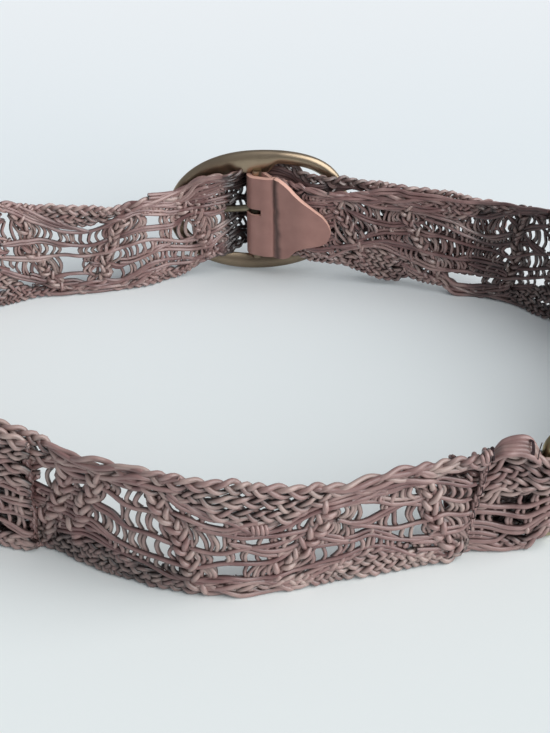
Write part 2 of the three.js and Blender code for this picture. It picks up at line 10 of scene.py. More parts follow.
import bpy
import numpy as np
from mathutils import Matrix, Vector


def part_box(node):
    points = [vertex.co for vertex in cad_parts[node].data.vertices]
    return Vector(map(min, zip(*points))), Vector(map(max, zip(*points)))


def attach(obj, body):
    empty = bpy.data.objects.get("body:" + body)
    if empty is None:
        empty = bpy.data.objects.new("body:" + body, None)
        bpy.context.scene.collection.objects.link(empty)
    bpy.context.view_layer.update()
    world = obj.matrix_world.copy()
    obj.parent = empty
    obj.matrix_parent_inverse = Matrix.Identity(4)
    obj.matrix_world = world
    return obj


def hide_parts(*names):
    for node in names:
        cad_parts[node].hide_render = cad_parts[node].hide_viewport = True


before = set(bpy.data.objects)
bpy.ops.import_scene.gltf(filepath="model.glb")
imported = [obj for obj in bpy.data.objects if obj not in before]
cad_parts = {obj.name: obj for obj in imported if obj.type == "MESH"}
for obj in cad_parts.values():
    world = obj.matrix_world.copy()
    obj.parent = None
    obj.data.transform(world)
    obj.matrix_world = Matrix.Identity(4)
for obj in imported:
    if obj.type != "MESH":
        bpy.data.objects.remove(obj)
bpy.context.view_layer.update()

# %% [markdown]
# Lengths of a small object are easiest to think of in millimetres, while Blender counts in metres. One factor
# turns them. The tables below were drawn with their own origin, so the buckle frame tells how far they shift.

# %% Units and the shift of the tables
MM = 0.001
BUCKLE = (-9.2, 128.5, 35.0)  # the middle of the buckle in the tables, in mm
SOLID_FRONT = 3.5  # from the buckle's middle to the front of its CAD solid
frame_low, frame_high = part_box("buckle_frame")
shift = np.array([
    (frame_low.x + frame_high.x) / 2 - BUCKLE[0] * MM,
    frame_low.y - (BUCKLE[1] - SOLID_FRONT) * MM,
    0.0,
])
print("shift of the tables in mm", (shift / MM).round(3))

# %% [markdown]
# ## Where the braid runs
# A braided panel is a band on edge: seen from above it follows a route, and at each place it has a lower and
# an upper edge. Each row below is x, y, lower edge and upper edge in mm, and inside the buckle a fifth number
# says how far the edges stay behind the middle. The first row is where the panel leaves its ring.

# %% Routes of the four panels
NEAR_ROUTE = [
    (-128, -78.5, 8.3, 46.7), (-116, -85.5, 1, 61), (-100, -91.5, 0, 60), (-86.5, -98.8, 0, 56),
    (-72.8, -107.5, 0, 58), (-55.5, -116, 0, 60), (-36, -121.8, 0, 60), (-15, -124, 0, 59), (8, -119.5, 0, 54),
    (30, -114, 0, 51), (50, -108.5, 0, 54), (70, -103.6, 0, 54), (90, -100.6, 0, 57),
]
RING_LOOP_ROUTE = [
    (113.5, -94, 8.3, 46.7), (104, -95, 0, 51), (92, -95, 0, 52.5), (80, -96, 0.5, 50), (70, -97.4, 1.5, 47),
]
RIGHT_ROUTE = [
    (154.3, -67.5, 8.3, 46.7), (165, -54, 0, 59), (175, -30, 0, 61), (178.5, -2, 0, 60), (174, 25, 0, 61),
    (162, 50, 0, 62), (147, 70, 0, 63), (131, 86, 0, 60.5), (118, 97, 0, 57), (104, 102, 0, 55),
    (88, 105.5, 0, 54.5), (72, 110, 1, 53.5), (54, 114.2, 3.5, 54), (38, 116.1, 9, 53), (28, 116.5, 11, 53),
    (21, 117, 12, 54), (15, 118, 13, 55), (9, 120.7, 13, 56), (3, 123.6, 13, 57), (-3, 126, 13, 57),
]
LEFT_ROUTE = [
    (-170.7, -58, 8.3, 46.7), (-181, -42, 0, 59), (-188, -18, 0, 61), (-189, 8, 0, 61), (-183, 34, 0, 62),
    (-170, 59, 0, 62), (-154, 79, 0, 61), (-138, 92.8, 0, 60), (-120, 102, 0, 54), (-100, 105, 0, 52),
    (-80, 109, 0, 49), (-64, 113.5, 0, 51.5), (-52, 120.3, 0, 51), (-43, 122.5, 4, 53.5),
    (-36, 123, 9.5, 56, 1.1), (-30, 126.2, 11.5, 57, 4.3), (-24, 130.6, 12.4, 57.2, 8.3),
    (-20, 133.2, 12.8, 57.2, 7.3), (-15, 135.2, 12.8, 57.2, 1.5), (-9, 135.6, 12.8, 57.2),
    (-3, 134.8, 12.8, 57.2), (3, 132.8, 13, 57), (9, 130.2, 14.5, 55.5), (14, 126.9, 17, 53),
    (19, 123.7, 18, 52.4), (25, 122.6, 17, 53.5), (32, 122.3, 14, 55), (42, 121.9, 9, 57), (54, 119.9, 6, 56.5),
    (72, 115.8, 4, 56), (90, 110.9, 3, 55.5), (106, 107.4, 3, 53.5), (116, 105.2, 5, 51),
]
print("stations", len(NEAR_ROUTE), len(RING_LOOP_ROUTE), len(RIGHT_ROUTE), len(LEFT_ROUTE))

# %% [markdown]
# The stations are joined by a smooth curve, and the panel's end is folded round its ring: half a turn, then a
# short leg back beside the panel. Distances are measured from the ring, so the folded leg has negative ones.

# %% One smooth route with its fold
BRAID = 5.2  # thickness of a panel
FOLD = 6.1  # radius of its middle where it turns round a ring
LEG_GAP = 5.6  # between the middles of a panel and of its folded leg
LEG_EASE = 18  # the leg comes as near as that over this length
NEAR_SLANT = 11.0  # the near run's cut end is this much shorter at its lower edge


def smooth(stations, steps=8):
    """Evenly timed points of a smooth curve through the stations."""
    rows = np.array([tuple(row) + (0.0,) * (5 - len(row)) for row in stations], float)
    rows = np.vstack([2 * rows[0] - rows[1], rows, 2 * rows[-1] - rows[-2]])
    points = []
    for i in range(len(rows) - 3):
        a, b, c, d = rows[i:i + 4]
        for t in np.arange(steps) / steps:
            points.append(0.5 * (2 * b + (c - a) * t + (2 * a - 5 * b + 4 * c - d) * t ** 2
                                 + (3 * b - a - 3 * c + d) * t ** 3))
    points.append(rows[-2])
    points = np.array(points)
    points[:, 2] = np.maximum(points[:, 2], 0)
    return points


def reach_of(points):
    """Distance of each point along the plan view of a route."""
    steps = np.hypot(*np.diff(points[:, :2], axis=0).T)
    return np.concatenate([[0.0], np.cumsum(steps)])


# %% [markdown]
# A panel keeps its route, and answers three questions: where its middle surface lies, how high it is, and
# where a point lifted off that surface comes to lie in Blender.

# %% A panel


class Panel:
    """A panel's route with its fold.

    side is 1 where the ring lies on the left of the route, else -1. leg is how long the folded leg is, and face
    is the sign of the side that the camera sees.
    """

    def __init__(self, stations, side, leg, face):
        main = smooth(stations)
        reach = reach_of(main)
        way = main[1, :2] - main[0, :2]
        way /= np.linalg.norm(way)
        left = np.array([-way[1], way[0]]) * side
        self.bar = main[0, :2] + left * FOLD
        turn = []
        for angle in np.linspace(0, math.pi, 13)[:-1]:
            spot = self.bar + left * math.cos(angle) * FOLD - way * math.sin(angle) * FOLD
            turn.append([*spot, *main[0, 2:]])
        folded = []
        for back in np.linspace(leg, 0, 18)[:-1]:
            here = np.array([np.interp(back, reach, main[:, c]) for c in range(5)])
            ahead = [np.interp(back + 1, reach, main[:, c]) - np.interp(max(back - 1, 0), reach, main[:, c])
                     for c in range(2)]
            ahead = np.array(ahead) / np.linalg.norm(ahead)
            near_by = min(back / LEG_EASE, 1)
            apart = 2 * FOLD + (LEG_GAP - 2 * FOLD) * near_by * near_by * (3 - 2 * near_by)
            here[:2] += np.array([-ahead[1], ahead[0]]) * side * apart
            here[4] = 0
            folded.append(here)
        rows = np.vstack([folded, turn, main])
        reach = reach_of(rows)
        zero = reach[len(folded) + len(turn)]
        self.rows = rows
        self.reach = reach - zero
        self.start = self.reach[0]
        self.end = self.reach[-1]
        self.face = face
        self.slant = 0.0

    def spot(self, reach, share):
        """Points of the panel's middle surface, in mm."""
        x, y, low, high, lag = (np.interp(reach, self.reach, self.rows[:, c]) for c in range(5))
        return np.stack([x, y - lag * (2 * share - 1) ** 2, low + (high - low) * share], -1)

    def height(self, reach):
        """From the lower to the upper edge, in mm."""
        return np.interp(reach, self.reach, self.rows[:, 3] - self.rows[:, 2])

    def limit(self, share):
        """Distance of the cut end at a share of the height, as an end may be cut on a slant."""
        return self.end - self.slant * (1 - np.asarray(share))

    def place(self, reach, share, lift):
        """Points in metres, from distances along, shares of the height and lifts towards the shown face."""
        reach = np.clip(reach, self.start, self.end)
        here = self.spot(reach, share)
        ahead = self.spot(reach + 1, share) - self.spot(reach - 1, share)
        up = self.spot(reach, share + 0.04) - self.spot(reach, share - 0.04)
        normal = np.cross(ahead, up)
        normal /= np.linalg.norm(normal, axis=-1, keepdims=True)
        return (here + normal * (np.asarray(lift) * self.face)[..., None]) * MM + shift


near = Panel(NEAR_ROUTE, -1, 34, 1)
ring_loop = Panel(RING_LOOP_ROUTE, -1, 42, -1)
right = Panel(RIGHT_ROUTE, 1, 34, -1)
left = Panel(LEFT_ROUTE, -1, 34, 1)
near.slant = NEAR_SLANT
print("panel lengths in mm", [round(p.end, 1) for p in (near, ring_loop, right, left)])

# %% [markdown]
# ## The braid
# Up close each panel is one pattern that repeats. Dense corners at both edges are rows of three-strand plait.
# Between them runs an open channel, where single cords float along the belt over short upright bars. Slanted
# ribs cross the channel: two thick cords with short stitches laid round them, left and right in turn. The
# cords are many and thin, so each one is a spline of a curve object with a round bevel, and the pattern is
# worked out flat, as distance along, share of the height and lift off the middle. The panel's own route then
# bends it into place.

# %% Cord and plait sizes in mm
NEAR_STYLE = {
    "cord": 1.15, "plait": 1.28, "bar": 1.0, "stitch": 1.4,  # radii of floats, plaited cords, bars and stitches
    "half": 2.1, "depth": 1.0, "pitch": 14, "row": 5.3,  # a plait's half width, half depth, length and height
    "long": 1.55,  # how much longer the upper edge's plait is
    "steps": 12,  # points along one length of plait
}
FAR_STYLE = {
    "cord": 0.96, "plait": 1.04, "bar": 0.88, "stitch": 1.1,
    "half": 1.7, "depth": 0.9, "pitch": 11.5, "row": 4.3, "long": 1.25, "steps": 9,
}
LOOP_STYLE = {**NEAR_STYLE, "cord": 1.32}
FLOAT_LIFT = 0.8  # floats lie in front of the panel's middle
BAR_LIFT = -0.7  # and bars behind it
for style in (NEAR_STYLE, FAR_STYLE):
    print("cord", 2 * style["cord"], "mm thick, plait row", style["row"], "mm high")

# %% Small helpers for the pattern


def ease(value):
    """0 below 0, 1 above 1, and a smooth change between."""
    held = np.clip(value, 0, 1)
    return held * held * (3 - 2 * held)


def ripple(rng, along, wave):
    """A smooth, never repeating wobble between about -1 and 1."""
    total = 0
    for stretch in (1.0, 0.61, 1.47):
        total = total + np.sin(2 * math.pi * along / (wave * stretch) + rng.uniform(0, 2 * math.pi))
    return total / 2.2


def rounded(table, reach, width=3.0):
    """Reads a table of corners at each distance, with its corners rounded."""
    table = np.array(table, float)
    steps = (-width, -width / 2, 0, width / 2, width)
    columns = [np.mean([np.interp(reach + step, table[:, 0], column) for step in steps], axis=0)
               for column in table[:, 1:].T]
    return columns


def along_of(stretches, reach):
    """A number at each distance: each (start, stop, amount) adds its amount there and fades at its ends."""
    total = 0 * reach
    for start, stop, amount in stretches:
        total = total + amount * ease((reach - start) / 8) * ease((stop - reach) / 8)
    return total


def plait(panel, reach, share, half, depth, phase, lift, tone, rng, radius):
    """Three cords plaited about a line on the panel. half, depth, phase and lift may change along it."""
    height = panel.height(reach)
    run = np.gradient(reach)
    rise = np.gradient(share) * height
    length = np.hypot(run, rise)
    cords = []
    for third in range(3):
        turn = phase + third * 2 * math.pi / 3
        side = half * np.sin(turn)
        cords.append({
            "reach": reach - rise / length * side,
            "share": share + run / length * side / height,
            "lift": lift + depth * np.sin(2 * turn),
            "tone": tone + rng.uniform(-1, 1) * 0.45,
            "radius": radius * rng.uniform(0.93, 1.07),
        })
    return cords


def stretches_of(wanted):
    """First and last index of each unbroken stretch of True that is long enough for a plait."""
    edges = np.flatnonzero(np.diff(np.concatenate([[0], wanted.astype(int), [0]])))
    return [(first, last) for first, last in edges.reshape(-1, 2) if last - first > 13]


def single(reach, share, lift, tone, radius):
    """One cord on its own."""
    return {"reach": reach, "share": share, "lift": lift + 0 * reach, "tone": tone, "radius": radius}


# %% [markdown]
# ### Plaited rows
# The edges of the real braid are three cords plaited over each other, row beside row. A twisted rope would be
# simpler to draw, but its strands only go round. Here each cord swings from side to side while it rises and
# falls twice as fast, which is the path of a three-strand plait. Where the channel leaves little room, a row is
# squeezed into a bundle, and loose stretches get three more cords that lie over it.

# %% Rows of plait along the two edges and in the dense corners


def edge_rows(panel, look, rng):
    """Plait rows below and above the open channel. Where the channel swells, they are squeezed into bundles."""
    style = look["style"]
    cord = style["plait"]
    cords = []
    reach = np.arange(panel.start + 0.6, panel.end - 0.6, style["pitch"] / style["steps"])
    height = panel.height(reach)
    low, high = rounded(look["channel"], reach, 6)
    ends = ease((reach - reach[0]) / 5) * ease((reach[-1] - reach) / 5)
    for upper in (False, True):
        room = ((1 - high) if upper else low) * height
        stretch = style["long"] if upper else 1.0
        tall = style["row"] * stretch ** 0.4
        edges = look["loose_top"] if upper else look["loose_bottom"]
        slack = along_of(edges, reach)
        inward = along_of(look["top_in" if upper else "bottom_in"], reach)
        for row in range(look["rows"]):
            # space is how much of the row fits between the edge and the channel. The outermost row always stays.
            space = np.clip((room - row * tall) / tall, 0, 1)
            if row > 0 and space.max() < 0.35:
                continue
            if row == 0:
                space = np.clip(np.maximum(space, 0.72 + 0.28 * ripple(rng, reach, 55)), 0.1, 1)
            # middle is the row's line, in mm from the edge. It wanders a little and stays on the panel.
            wanted = (row + 0.5) * tall * (1 + 0.02 * row)
            packed = np.maximum(room - 1.2 * (look["rows"] - row), 1.5 * row + style["half"] + cord)
            middle = np.minimum(wanted, packed)
            middle = middle + (0.35 + 0.6 * (row > 0)) * ripple(rng, reach, 26)
            middle = np.maximum(middle, style["half"] + cord * 0.85)
            # A squeezed or loose row is plaited with longer turns.
            loose = slack * (row == 0)
            slower = 1 + 0.8 * (1 - space) + 1.3 * loose
            pitch = style["pitch"] * stretch * slower * (1 + 0.3 * ripple(rng, reach, 31))
            phase = np.cumsum(2 * math.pi * np.gradient(reach) / pitch) + rng.uniform(0, 6)
            # A squeezed row is narrower and flatter too, and so is every row at the panel's ends.
            wider = 0.3 + 0.7 * ease(space) + 0.2 * loose
            half = style["half"] * stretch ** 0.3 * wider + 0.5 * ripple(rng, reach, 19)
            half = half * (0.3 + 0.7 * ends)
            depth = style["depth"] * (0.4 + 0.6 * space) * (0.5 + 0.5 * ends)
            lift = 0.55 * ripple(rng, reach, 29) + (1 - space) * rng.uniform(-0.6, 0.9) * (row > 0)
            share = (1 - (middle + inward) / height) if upper else (middle + inward) / height
            tone = rng.uniform(0.1, 0.6)
            # An inner row is only made where it fits, and tucks its own ends in behind.
            for first, last in stretches_of(space > 0.22 if row else space > 0):
                here = slice(first, last)
                u = np.arange(last - first) / 6.0
                tuck = ease(u) * ease(u[::-1]) if row else 1.0
                cords += plait(panel, reach[here], share[here], half[here] * (0.5 + 0.5 * tuck),
                               depth[here] * tuck, phase[here], lift[here] - 1.2 * (1 - tuck), tone, rng, cord)
        # Three single cords lie over each loose stretch of the edge.
        for start, stop, amount in edges:
            for extra in range(3):
                here = (reach > start - rng.uniform(0, 14)) & (reach < stop + rng.uniform(0, 14))
                along = reach[here]
                line = cord + style["row"] * (0.2 + 0.5 * extra) + 2.0 * ripple(rng, along, 52)
                tuck = ease((along - along[0]) / 9) * ease((along[-1] - along) / 9)
                line = np.maximum(line, cord) + 3.0 * (1 - tuck)
                line = (line + inward[here]) / height[here]
                share = 1 - line if upper else line
                lift = 0.9 * ripple(rng, along, 36) + 2.4 * tuck - 1.5
                cords.append(single(along, share, lift, rng.uniform(-0.6, 0.2), cord * rng.uniform(0.92, 1.05)))
    return cords


# %% [markdown]
# ### Ribs
# Between the openings the braid is gathered into ribs, with short stitches over a pair of thick cords, like the
# grains of an ear of wheat. A plait would show endless cords there. Each stitch is a short cord of its own, so
# that its round ends show.

# %% Ribs across the open channel


def ribs_of(panel, look, rng):
    """A slanted rib for each (top, bottom) pair of distances: two thick cords with short stitches round them.

    The stitches lie left and right in turn, like the grains of an ear of wheat, on the front and on the back.
    """
    style = look["style"]
    thick = style["stitch"]
    cords = []
    for top, bottom in look["ribs"]:
        middle = (top + bottom) / 2
        low, high = rounded(look["channel"], np.array(middle, float), 6)
        first, last = max(low - 0.08, 0.04), min(high + 0.06, 0.96)
        height = float(panel.height(middle))
        length = math.hypot(top - bottom, height)
        over, up = height / length, (bottom - top) / length
        waves = rng.uniform(0, 6, 2)

        def spot(along, across, lift, tone, radius):
            """One cord at a distance along the rib, across it and off it, in mm."""
            t = first + along / length
            across = across + 1.5 * np.sin(along / 6.3 + waves[0]) + 0.7 * np.sin(along / 2.9 + waves[1])
            reach = np.clip(bottom + (top - bottom) * t + across * over, panel.start + 2.8, panel.end - 2.8)
            cords.append(single(reach, np.clip(t + across * up / height, 0.03, 0.97), lift, tone, radius))

        run = (last - first) * length
        line = np.linspace(0, run, 40)
        for side in (-1, 1):
            spot(line, side * 1.1 * thick, 0.25 * np.sin(line / 4), rng.uniform(-0.6, 0), thick * 0.9)
            spot(line, side * (3.1 * thick + 0.4 * ripple(rng, line, 14)), -0.2 + 0.7 * ripple(rng, line, 12),
                 rng.uniform(-0.5, 0.5), style["bar"])
        u = np.linspace(-0.5, 0.5, 9)
        for face in (-1, 1):
            side = 1
            place = rng.uniform(0, 3)
            while place < run:
                size = 4.8 * thick * rng.uniform(0.8, 1.25)
                tilt = rng.uniform(0.3, 1.1)
                spot(place + u * size * math.cos(tilt), side * (1.15 * thick + u * size * math.sin(tilt)),
                     face * (thick * (1.7 * np.cos(math.pi * u) - 0.35) + rng.uniform(-0.3, 0.4)),
                     rng.uniform(-0.1, 0.9), thick * rng.uniform(0.85, 1.1))
                side = -side if rng.uniform() < 0.85 else side
                place += 2.1 * thick * rng.uniform(0.7, 1.3)
    return cords


# %% [markdown]
# ### Floats
# The floats are what the eye follows along the belt: single cords, often with a twin that leaves one and comes
# back. They could wander by chance, but the ones that are seen up close follow tables, further down.

# %% Cords that float along the open channel


def face_of(reach):
    """The side of the panel that faces out: 1 along the run, and -1 where the end is folded back."""
    return 2 * ease((reach + 9) / 5) - 1


def past_ribs(look, reach, share, rng):
    """How a float passes the ribs: it dips under most of them and rides over some."""
    lift = 0 * reach
    for top, bottom in look["ribs"]:
        way = 1.0 if rng.uniform() < 0.35 else -1.5
        lift = lift + way * np.exp(-((reach - bottom - (top - bottom) * share) / 3.5) ** 2)
    return lift


def in_window(look, reach, share, grow=0.6):
    """Which of the points lie in one of the openings."""
    inside = np.zeros(np.shape(reach), bool)
    for start, stop, low, high in look["windows"]:
        inside |= (reach > start - grow) & (reach < stop + grow) & (share > low) & (share < high)
    return inside


def floats_of(panel, look, rng):
    """Single cords along the channel. Here and there a twin leaves one and comes back to it."""
    cord = look["style"]["cord"]
    lines = []
    for table in look["traced"]:
        reach = np.arange(table[0][0], table[-1][0] + 0.1, 1.6)
        share, = rounded(table, reach, 2.5)
        lines.append((reach, share))
    count = look["floats"]
    for start, stop in look["plain"]:
        reach = np.arange(max(start, panel.start + 1.5), min(stop, panel.end - 1.5), 1.8)
        low, high = rounded(look["channel"], reach, 6)
        height = panel.height(reach)
        sway = 0.7 * ripple(rng, reach, 38)
        gap = (high - low) * height / count
        for k in range(count):
            share = low + (high - low) * (k + 0.5) / count
            lines.append((reach, share + (sway + 0.16 * gap * ripple(rng, reach, 26)) / height))
    cords = []
    for reach, share in lines:
        height = panel.height(reach)
        tone = rng.uniform(-1, 0)
        lift = face_of(reach) * (FLOAT_LIFT + 0.4 * ripple(rng, reach, 24) + past_ribs(look, reach, share, rng))
        cords.append(single(reach, share, lift, tone, cord * rng.uniform(0.94, 1.06)))
        # Twins come and go along the float, on the side where they hide less of an opening.
        spot = reach[0] - rng.uniform(0, 12)
        while spot < reach[-1] - 14:
            end = min(spot + rng.uniform(26, 60), reach[-1] - 1)
            here = (reach > spot) & (reach < end)
            if here.sum() > 7:
                u = (reach[here] - spot) / (end - spot)
                swing = cord * rng.uniform(1.7, 2.1) * ease(u * 4) * ease((1 - u) * 4)
                tries = [share[here] + side * swing / height[here] for side in (-1, 1)]
                blocked = [in_window(look, reach[here], spots).mean() for spots in tries]
                side = int(blocked[1] < blocked[0] or (blocked[0] == blocked[1] and rng.uniform() < 0.5))
                if blocked[side] < 0.16:
                    cords.append(single(reach[here], tries[side], lift[here] - 0.3 * face_of(reach[here]),
                                        tone + rng.uniform(-0.3, 0.6), cord * 0.95))
            spot = end + rng.uniform(0, 22)
    return lines, cords


# %% [markdown]
# ### Bars
# Short bars stand between the floats like the rungs of a ladder. Straight, even rungs would look made by a
# machine, so each bar has its own lean, bend and thickness, and bends away from the nearest rib. A bar on each
# side of an opening gives it its rounded ends.

# %% Upright bars behind the floats


def crossings(lines, top, bottom, low, high):
    """Shares of the height at which a slanted bar meets the floats, from the bottom up."""
    found = [low, high]
    for reach, share in lines:
        spot = 0.5
        for _ in range(3):
            place = bottom + (top - bottom) * spot
            spot = float(np.interp(place, reach, share))
        if reach[0] - 2 <= place <= reach[-1] + 2 and low < spot < high:
            found.append(spot)
    found.sort()
    kept = found[:1]
    for spot in found[1:]:
        if spot - kept[-1] > 0.035:
            kept.append(spot)
    return kept


def bar(panel, style, place, low, high, slope, bulge, lift, rng):
    """One bar at a distance, between two shares. slope is its lean in mm over the whole height."""
    u = np.linspace(0, 1, 9)
    height = float(panel.height(place))
    low, high = low - 0.2 / height, high - 0.8 / height
    share = np.clip(low + (high - low) * u, 0.03, 0.97)
    swell = np.sin(math.pi * u)
    reach = place + slope * (share - (low + high) / 2) + bulge * swell + 0.25 * ripple(rng, u * 9, 9)
    reach = np.clip(reach, panel.start + 1.5, panel.end - 1.5)
    depth = face_of(reach) * (lift + rng.uniform(0.5, 1.5) * swell)
    return single(reach, share, depth, rng.uniform(-0.2, 0.9), style["bar"] * rng.uniform(0.85, 1.2))


# %% Which way the bars bend


def bend_at(look, reach, share):
    """How far a bar bends away from the nearest rib, like a ripple round it."""
    bend = 0.9
    nearest = 99.0
    for top, bottom in look["ribs"]:
        off = reach - bottom - (top - bottom) * share
        if abs(off) < nearest:
            nearest = abs(off)
            bend = math.copysign(1.0 + 1.9 * math.exp(-(nearest / 13) ** 2), off)
    return bend


def bars_round_openings(panel, look, lines, rng):
    """A bar on each side of every opening, from float to float and bent away from the opening."""
    style = look["style"]
    cords, taken = [], []
    for start, stop, low, high in look["windows"]:
        middle = (low + high) / 2
        for place, side in ((start, -1), (stop, 1)):
            place = place + side * style["bar"] * 0.8
            bend = bend_at(look, place, middle)
            floor, roof = rounded(look["channel"], np.array(place, float), 6)
            levels = crossings(lines, place, place, floor - 0.02, roof + 0.02)
            low = max([spot for spot in levels if spot < middle], default=low)
            high = min([spot for spot in levels if spot > middle], default=high)
            if any(abs(place - beside_it) < style["bar"] and below < middle < above
                   for beside_it, below, above in taken):
                continue
            taken.append((place, low, high))
            cords.append(bar(panel, style, place - 0.5 * bend, low, high, 2 * side, bend, BAR_LIFT, rng))
    return cords, taken


# %% Bars between the ribs


def bars_of(panel, look, lines, rng):
    """Short curved bars from float to float, bent round the nearest rib. The openings stay free of them."""
    style = look["style"]
    cords, taken = bars_round_openings(panel, look, lines, rng)
    first_end = (panel.start + 2, panel.start + 2)
    last_end = (panel.end - 2, panel.end - 2 - panel.slant)
    ends = [first_end, *look["ribs"], last_end]
    for (top_a, bottom_a), (top_b, bottom_b) in zip(ends, ends[1:]):
        run = (top_b + bottom_b - top_a - bottom_a) / 2
        spot = 3.3 * style["stitch"]
        while spot < run - 3.1 * style["stitch"]:
            t = spot / run
            beside = 1 - ease((min(spot, run - spot) - 3) / 12)
            top = top_a + (top_b - top_a) * t
            bottom = bottom_a + (bottom_b - bottom_a) * t
            middle = (top + bottom) / 2
            unseen = middle < look["seen"]
            spot += look["bar_step"] * rng.uniform(0.85, 1.2) * (1 + 0.7 * (1 - beside) * unseen)
            low, high = rounded(look["channel"], np.array(middle, float), 6)
            levels = crossings(lines, top, bottom, max(low - 0.02, 0.03), min(high + 0.02, 0.97))
            drop = look["left_out"] * (1.6 - 1.3 * beside)
            for below, above in zip(levels, levels[1:]):
                share = (below + above) / 2
                place = bottom + (top - bottom) * share + rng.uniform(-0.5, 0.5)
                if unseen and rng.uniform() < drop:
                    continue
                bend = bend_at(look, place, share)
                if in_window(look, place + bend * 0.5, share, style["bar"] * 0.8):
                    continue
                if any(abs(place - beside_it) < 1.5 * style["bar"] and floor < share < roof
                       for beside_it, floor, roof in taken):
                    continue
                lean = (top - bottom) + rng.choice([-1, 1]) * rng.uniform(0, 14)
                cords.append(bar(panel, style, place, below, above, lean, bend + rng.uniform(-0.5, 0.5),
                                 BAR_LIFT + rng.uniform(-0.3, 0.5), rng))
    return cords


# %% [markdown]
# ### Ends, knots and the bundle
# At a cut end the cords turn back over each other. Small coils cover a few places where a cord starts, and on
# the ring loop a bundle of cord ends arches over the upper edge, with one of them cut short. They are all cords
# again, so they join the same mesh.

# %% Cords that finish the cut ends of a panel


def end_cords(panel, reach, look, rng):
    """The ends of the cords turn back over each other in a small upright plait."""
    style = look["style"]
    share = np.linspace(0.1, 0.93, 70)
    height = float(panel.height(reach))
    line = reach - (panel.slant * (1 - share) if reach > 0 else 0) + 0.5 * ripple(rng, share * height, 17)
    phase = 2 * math.pi * share * height / (style["pitch"] * 0.8)
    lift = math.copysign(1.0, -reach)
    return plait(panel, line, share, style["half"] * 0.4, 0.6, phase, lift, -0.5, rng, style["cord"] * 0.75)


# %% Knots and the bundle of cord ends


def extra_cords(panel, look, rng):
    """Small coiled knots where a cord starts or ends, and a bundle of ends that arches over the upper edge."""
    cord = look["style"]["cord"]
    cords = []
    for start, stop, share, turns in look["knots"]:
        turn = np.linspace(0, 2 * math.pi * turns, int(12 * turns))
        along = start + (stop - start) * turn / turn[-1]
        size = cord * (1.25 + 0.7 * np.sin(math.pi * turn / turn[-1]))
        cords.append(single(along, share + size * np.cos(turn) / panel.height(along),
                            0.9 + 0.8 * size * np.sin(turn), 0.2, cord * 0.9))
    for start, stop, share, count in look["bundle"]:
        for k in range(count):
            side = 2 * k / (count - 1) - 1
            cut_short = k == count - 2
            cut = start + 4.5 if cut_short else start + rng.uniform(-1, 1)
            along = np.linspace(cut, stop + rng.uniform(-1, 1), 34)
            u = (along - start) / (stop - start)
            dive = ease((1 - u) * 4) * (1.0 if cut_short else ease(u * 4))
            arch = (0.11 - 0.045 * (side + 1)) * np.sin(math.pi * np.clip(u, 0, 1) ** 0.66)
            lift = 2.6 * side * (1 - 0.4 * (1 - dive)) + 0.3 * ripple(rng, along, 14)
            cords.append(single(along, share + arch - 0.05 * (1 - dive), lift, rng.uniform(-0.2, 0.8),
                                cord * rng.uniform(0.95, 1.1)))
    return cords


# %% [markdown]
# ### From cords to a mesh
# A curve object holds one spline for each cord, and its round bevel gives all of them their thickness at once.
# Turned into a mesh, every vertex keeps two numbers. Tone is the dye of its cord, because hand-cut cords never
# take dye alike. The second number, wear and shade, says how much the vertex faces away from the panel's middle.
# Hands and clothes have rubbed the outside of the braid pale, and the same number also paints shade into its
# grooves and onto stretches that lie in shade, and a painted highlight on the top of the upper rim. The end caps
# come out as loose discs, so doubled corners are merged to close them.

# %% Helpers for objects and curves


def select_only(item):
    """Deselects all and selects one object, which the next operator then works on."""
    bpy.ops.object.select_all(action="DESELECT")
    item.select_set(True)
    bpy.context.view_layer.objects.active = item


def add_object(name, data):
    """A new object in the scene that holds the data."""
    item = bpy.data.objects.new(name, data)
    bpy.context.scene.collection.objects.link(item)
    return item


def new_curve(name, radius, resolution):
    """A curve with a round bevel. It has 4 corners round it, and 2 more for each step of the resolution."""
    curve = bpy.data.curves.new(name, "CURVE")
    curve.dimensions = "3D"
    curve.bevel_depth = radius
    curve.bevel_resolution = resolution
    return curve


def add_line(curve, points):
    """One line of the curve, through points in metres."""
    spline = curve.splines.new("POLY")
    spline.points.add(len(points) - 1)
    spline.points.foreach_set("co", np.hstack([points, np.ones((len(points), 1))]).ravel())
    return spline


def read_points(item):
    """The corners of a mesh, one row for each."""
    flat = np.empty(len(item.data.vertices) * 3)
    item.data.vertices.foreach_get("co", flat)
    return flat.reshape(-1, 3)


# %% From cords to one mesh
NO_STRETCH = (-200, -199)  # lies before every panel


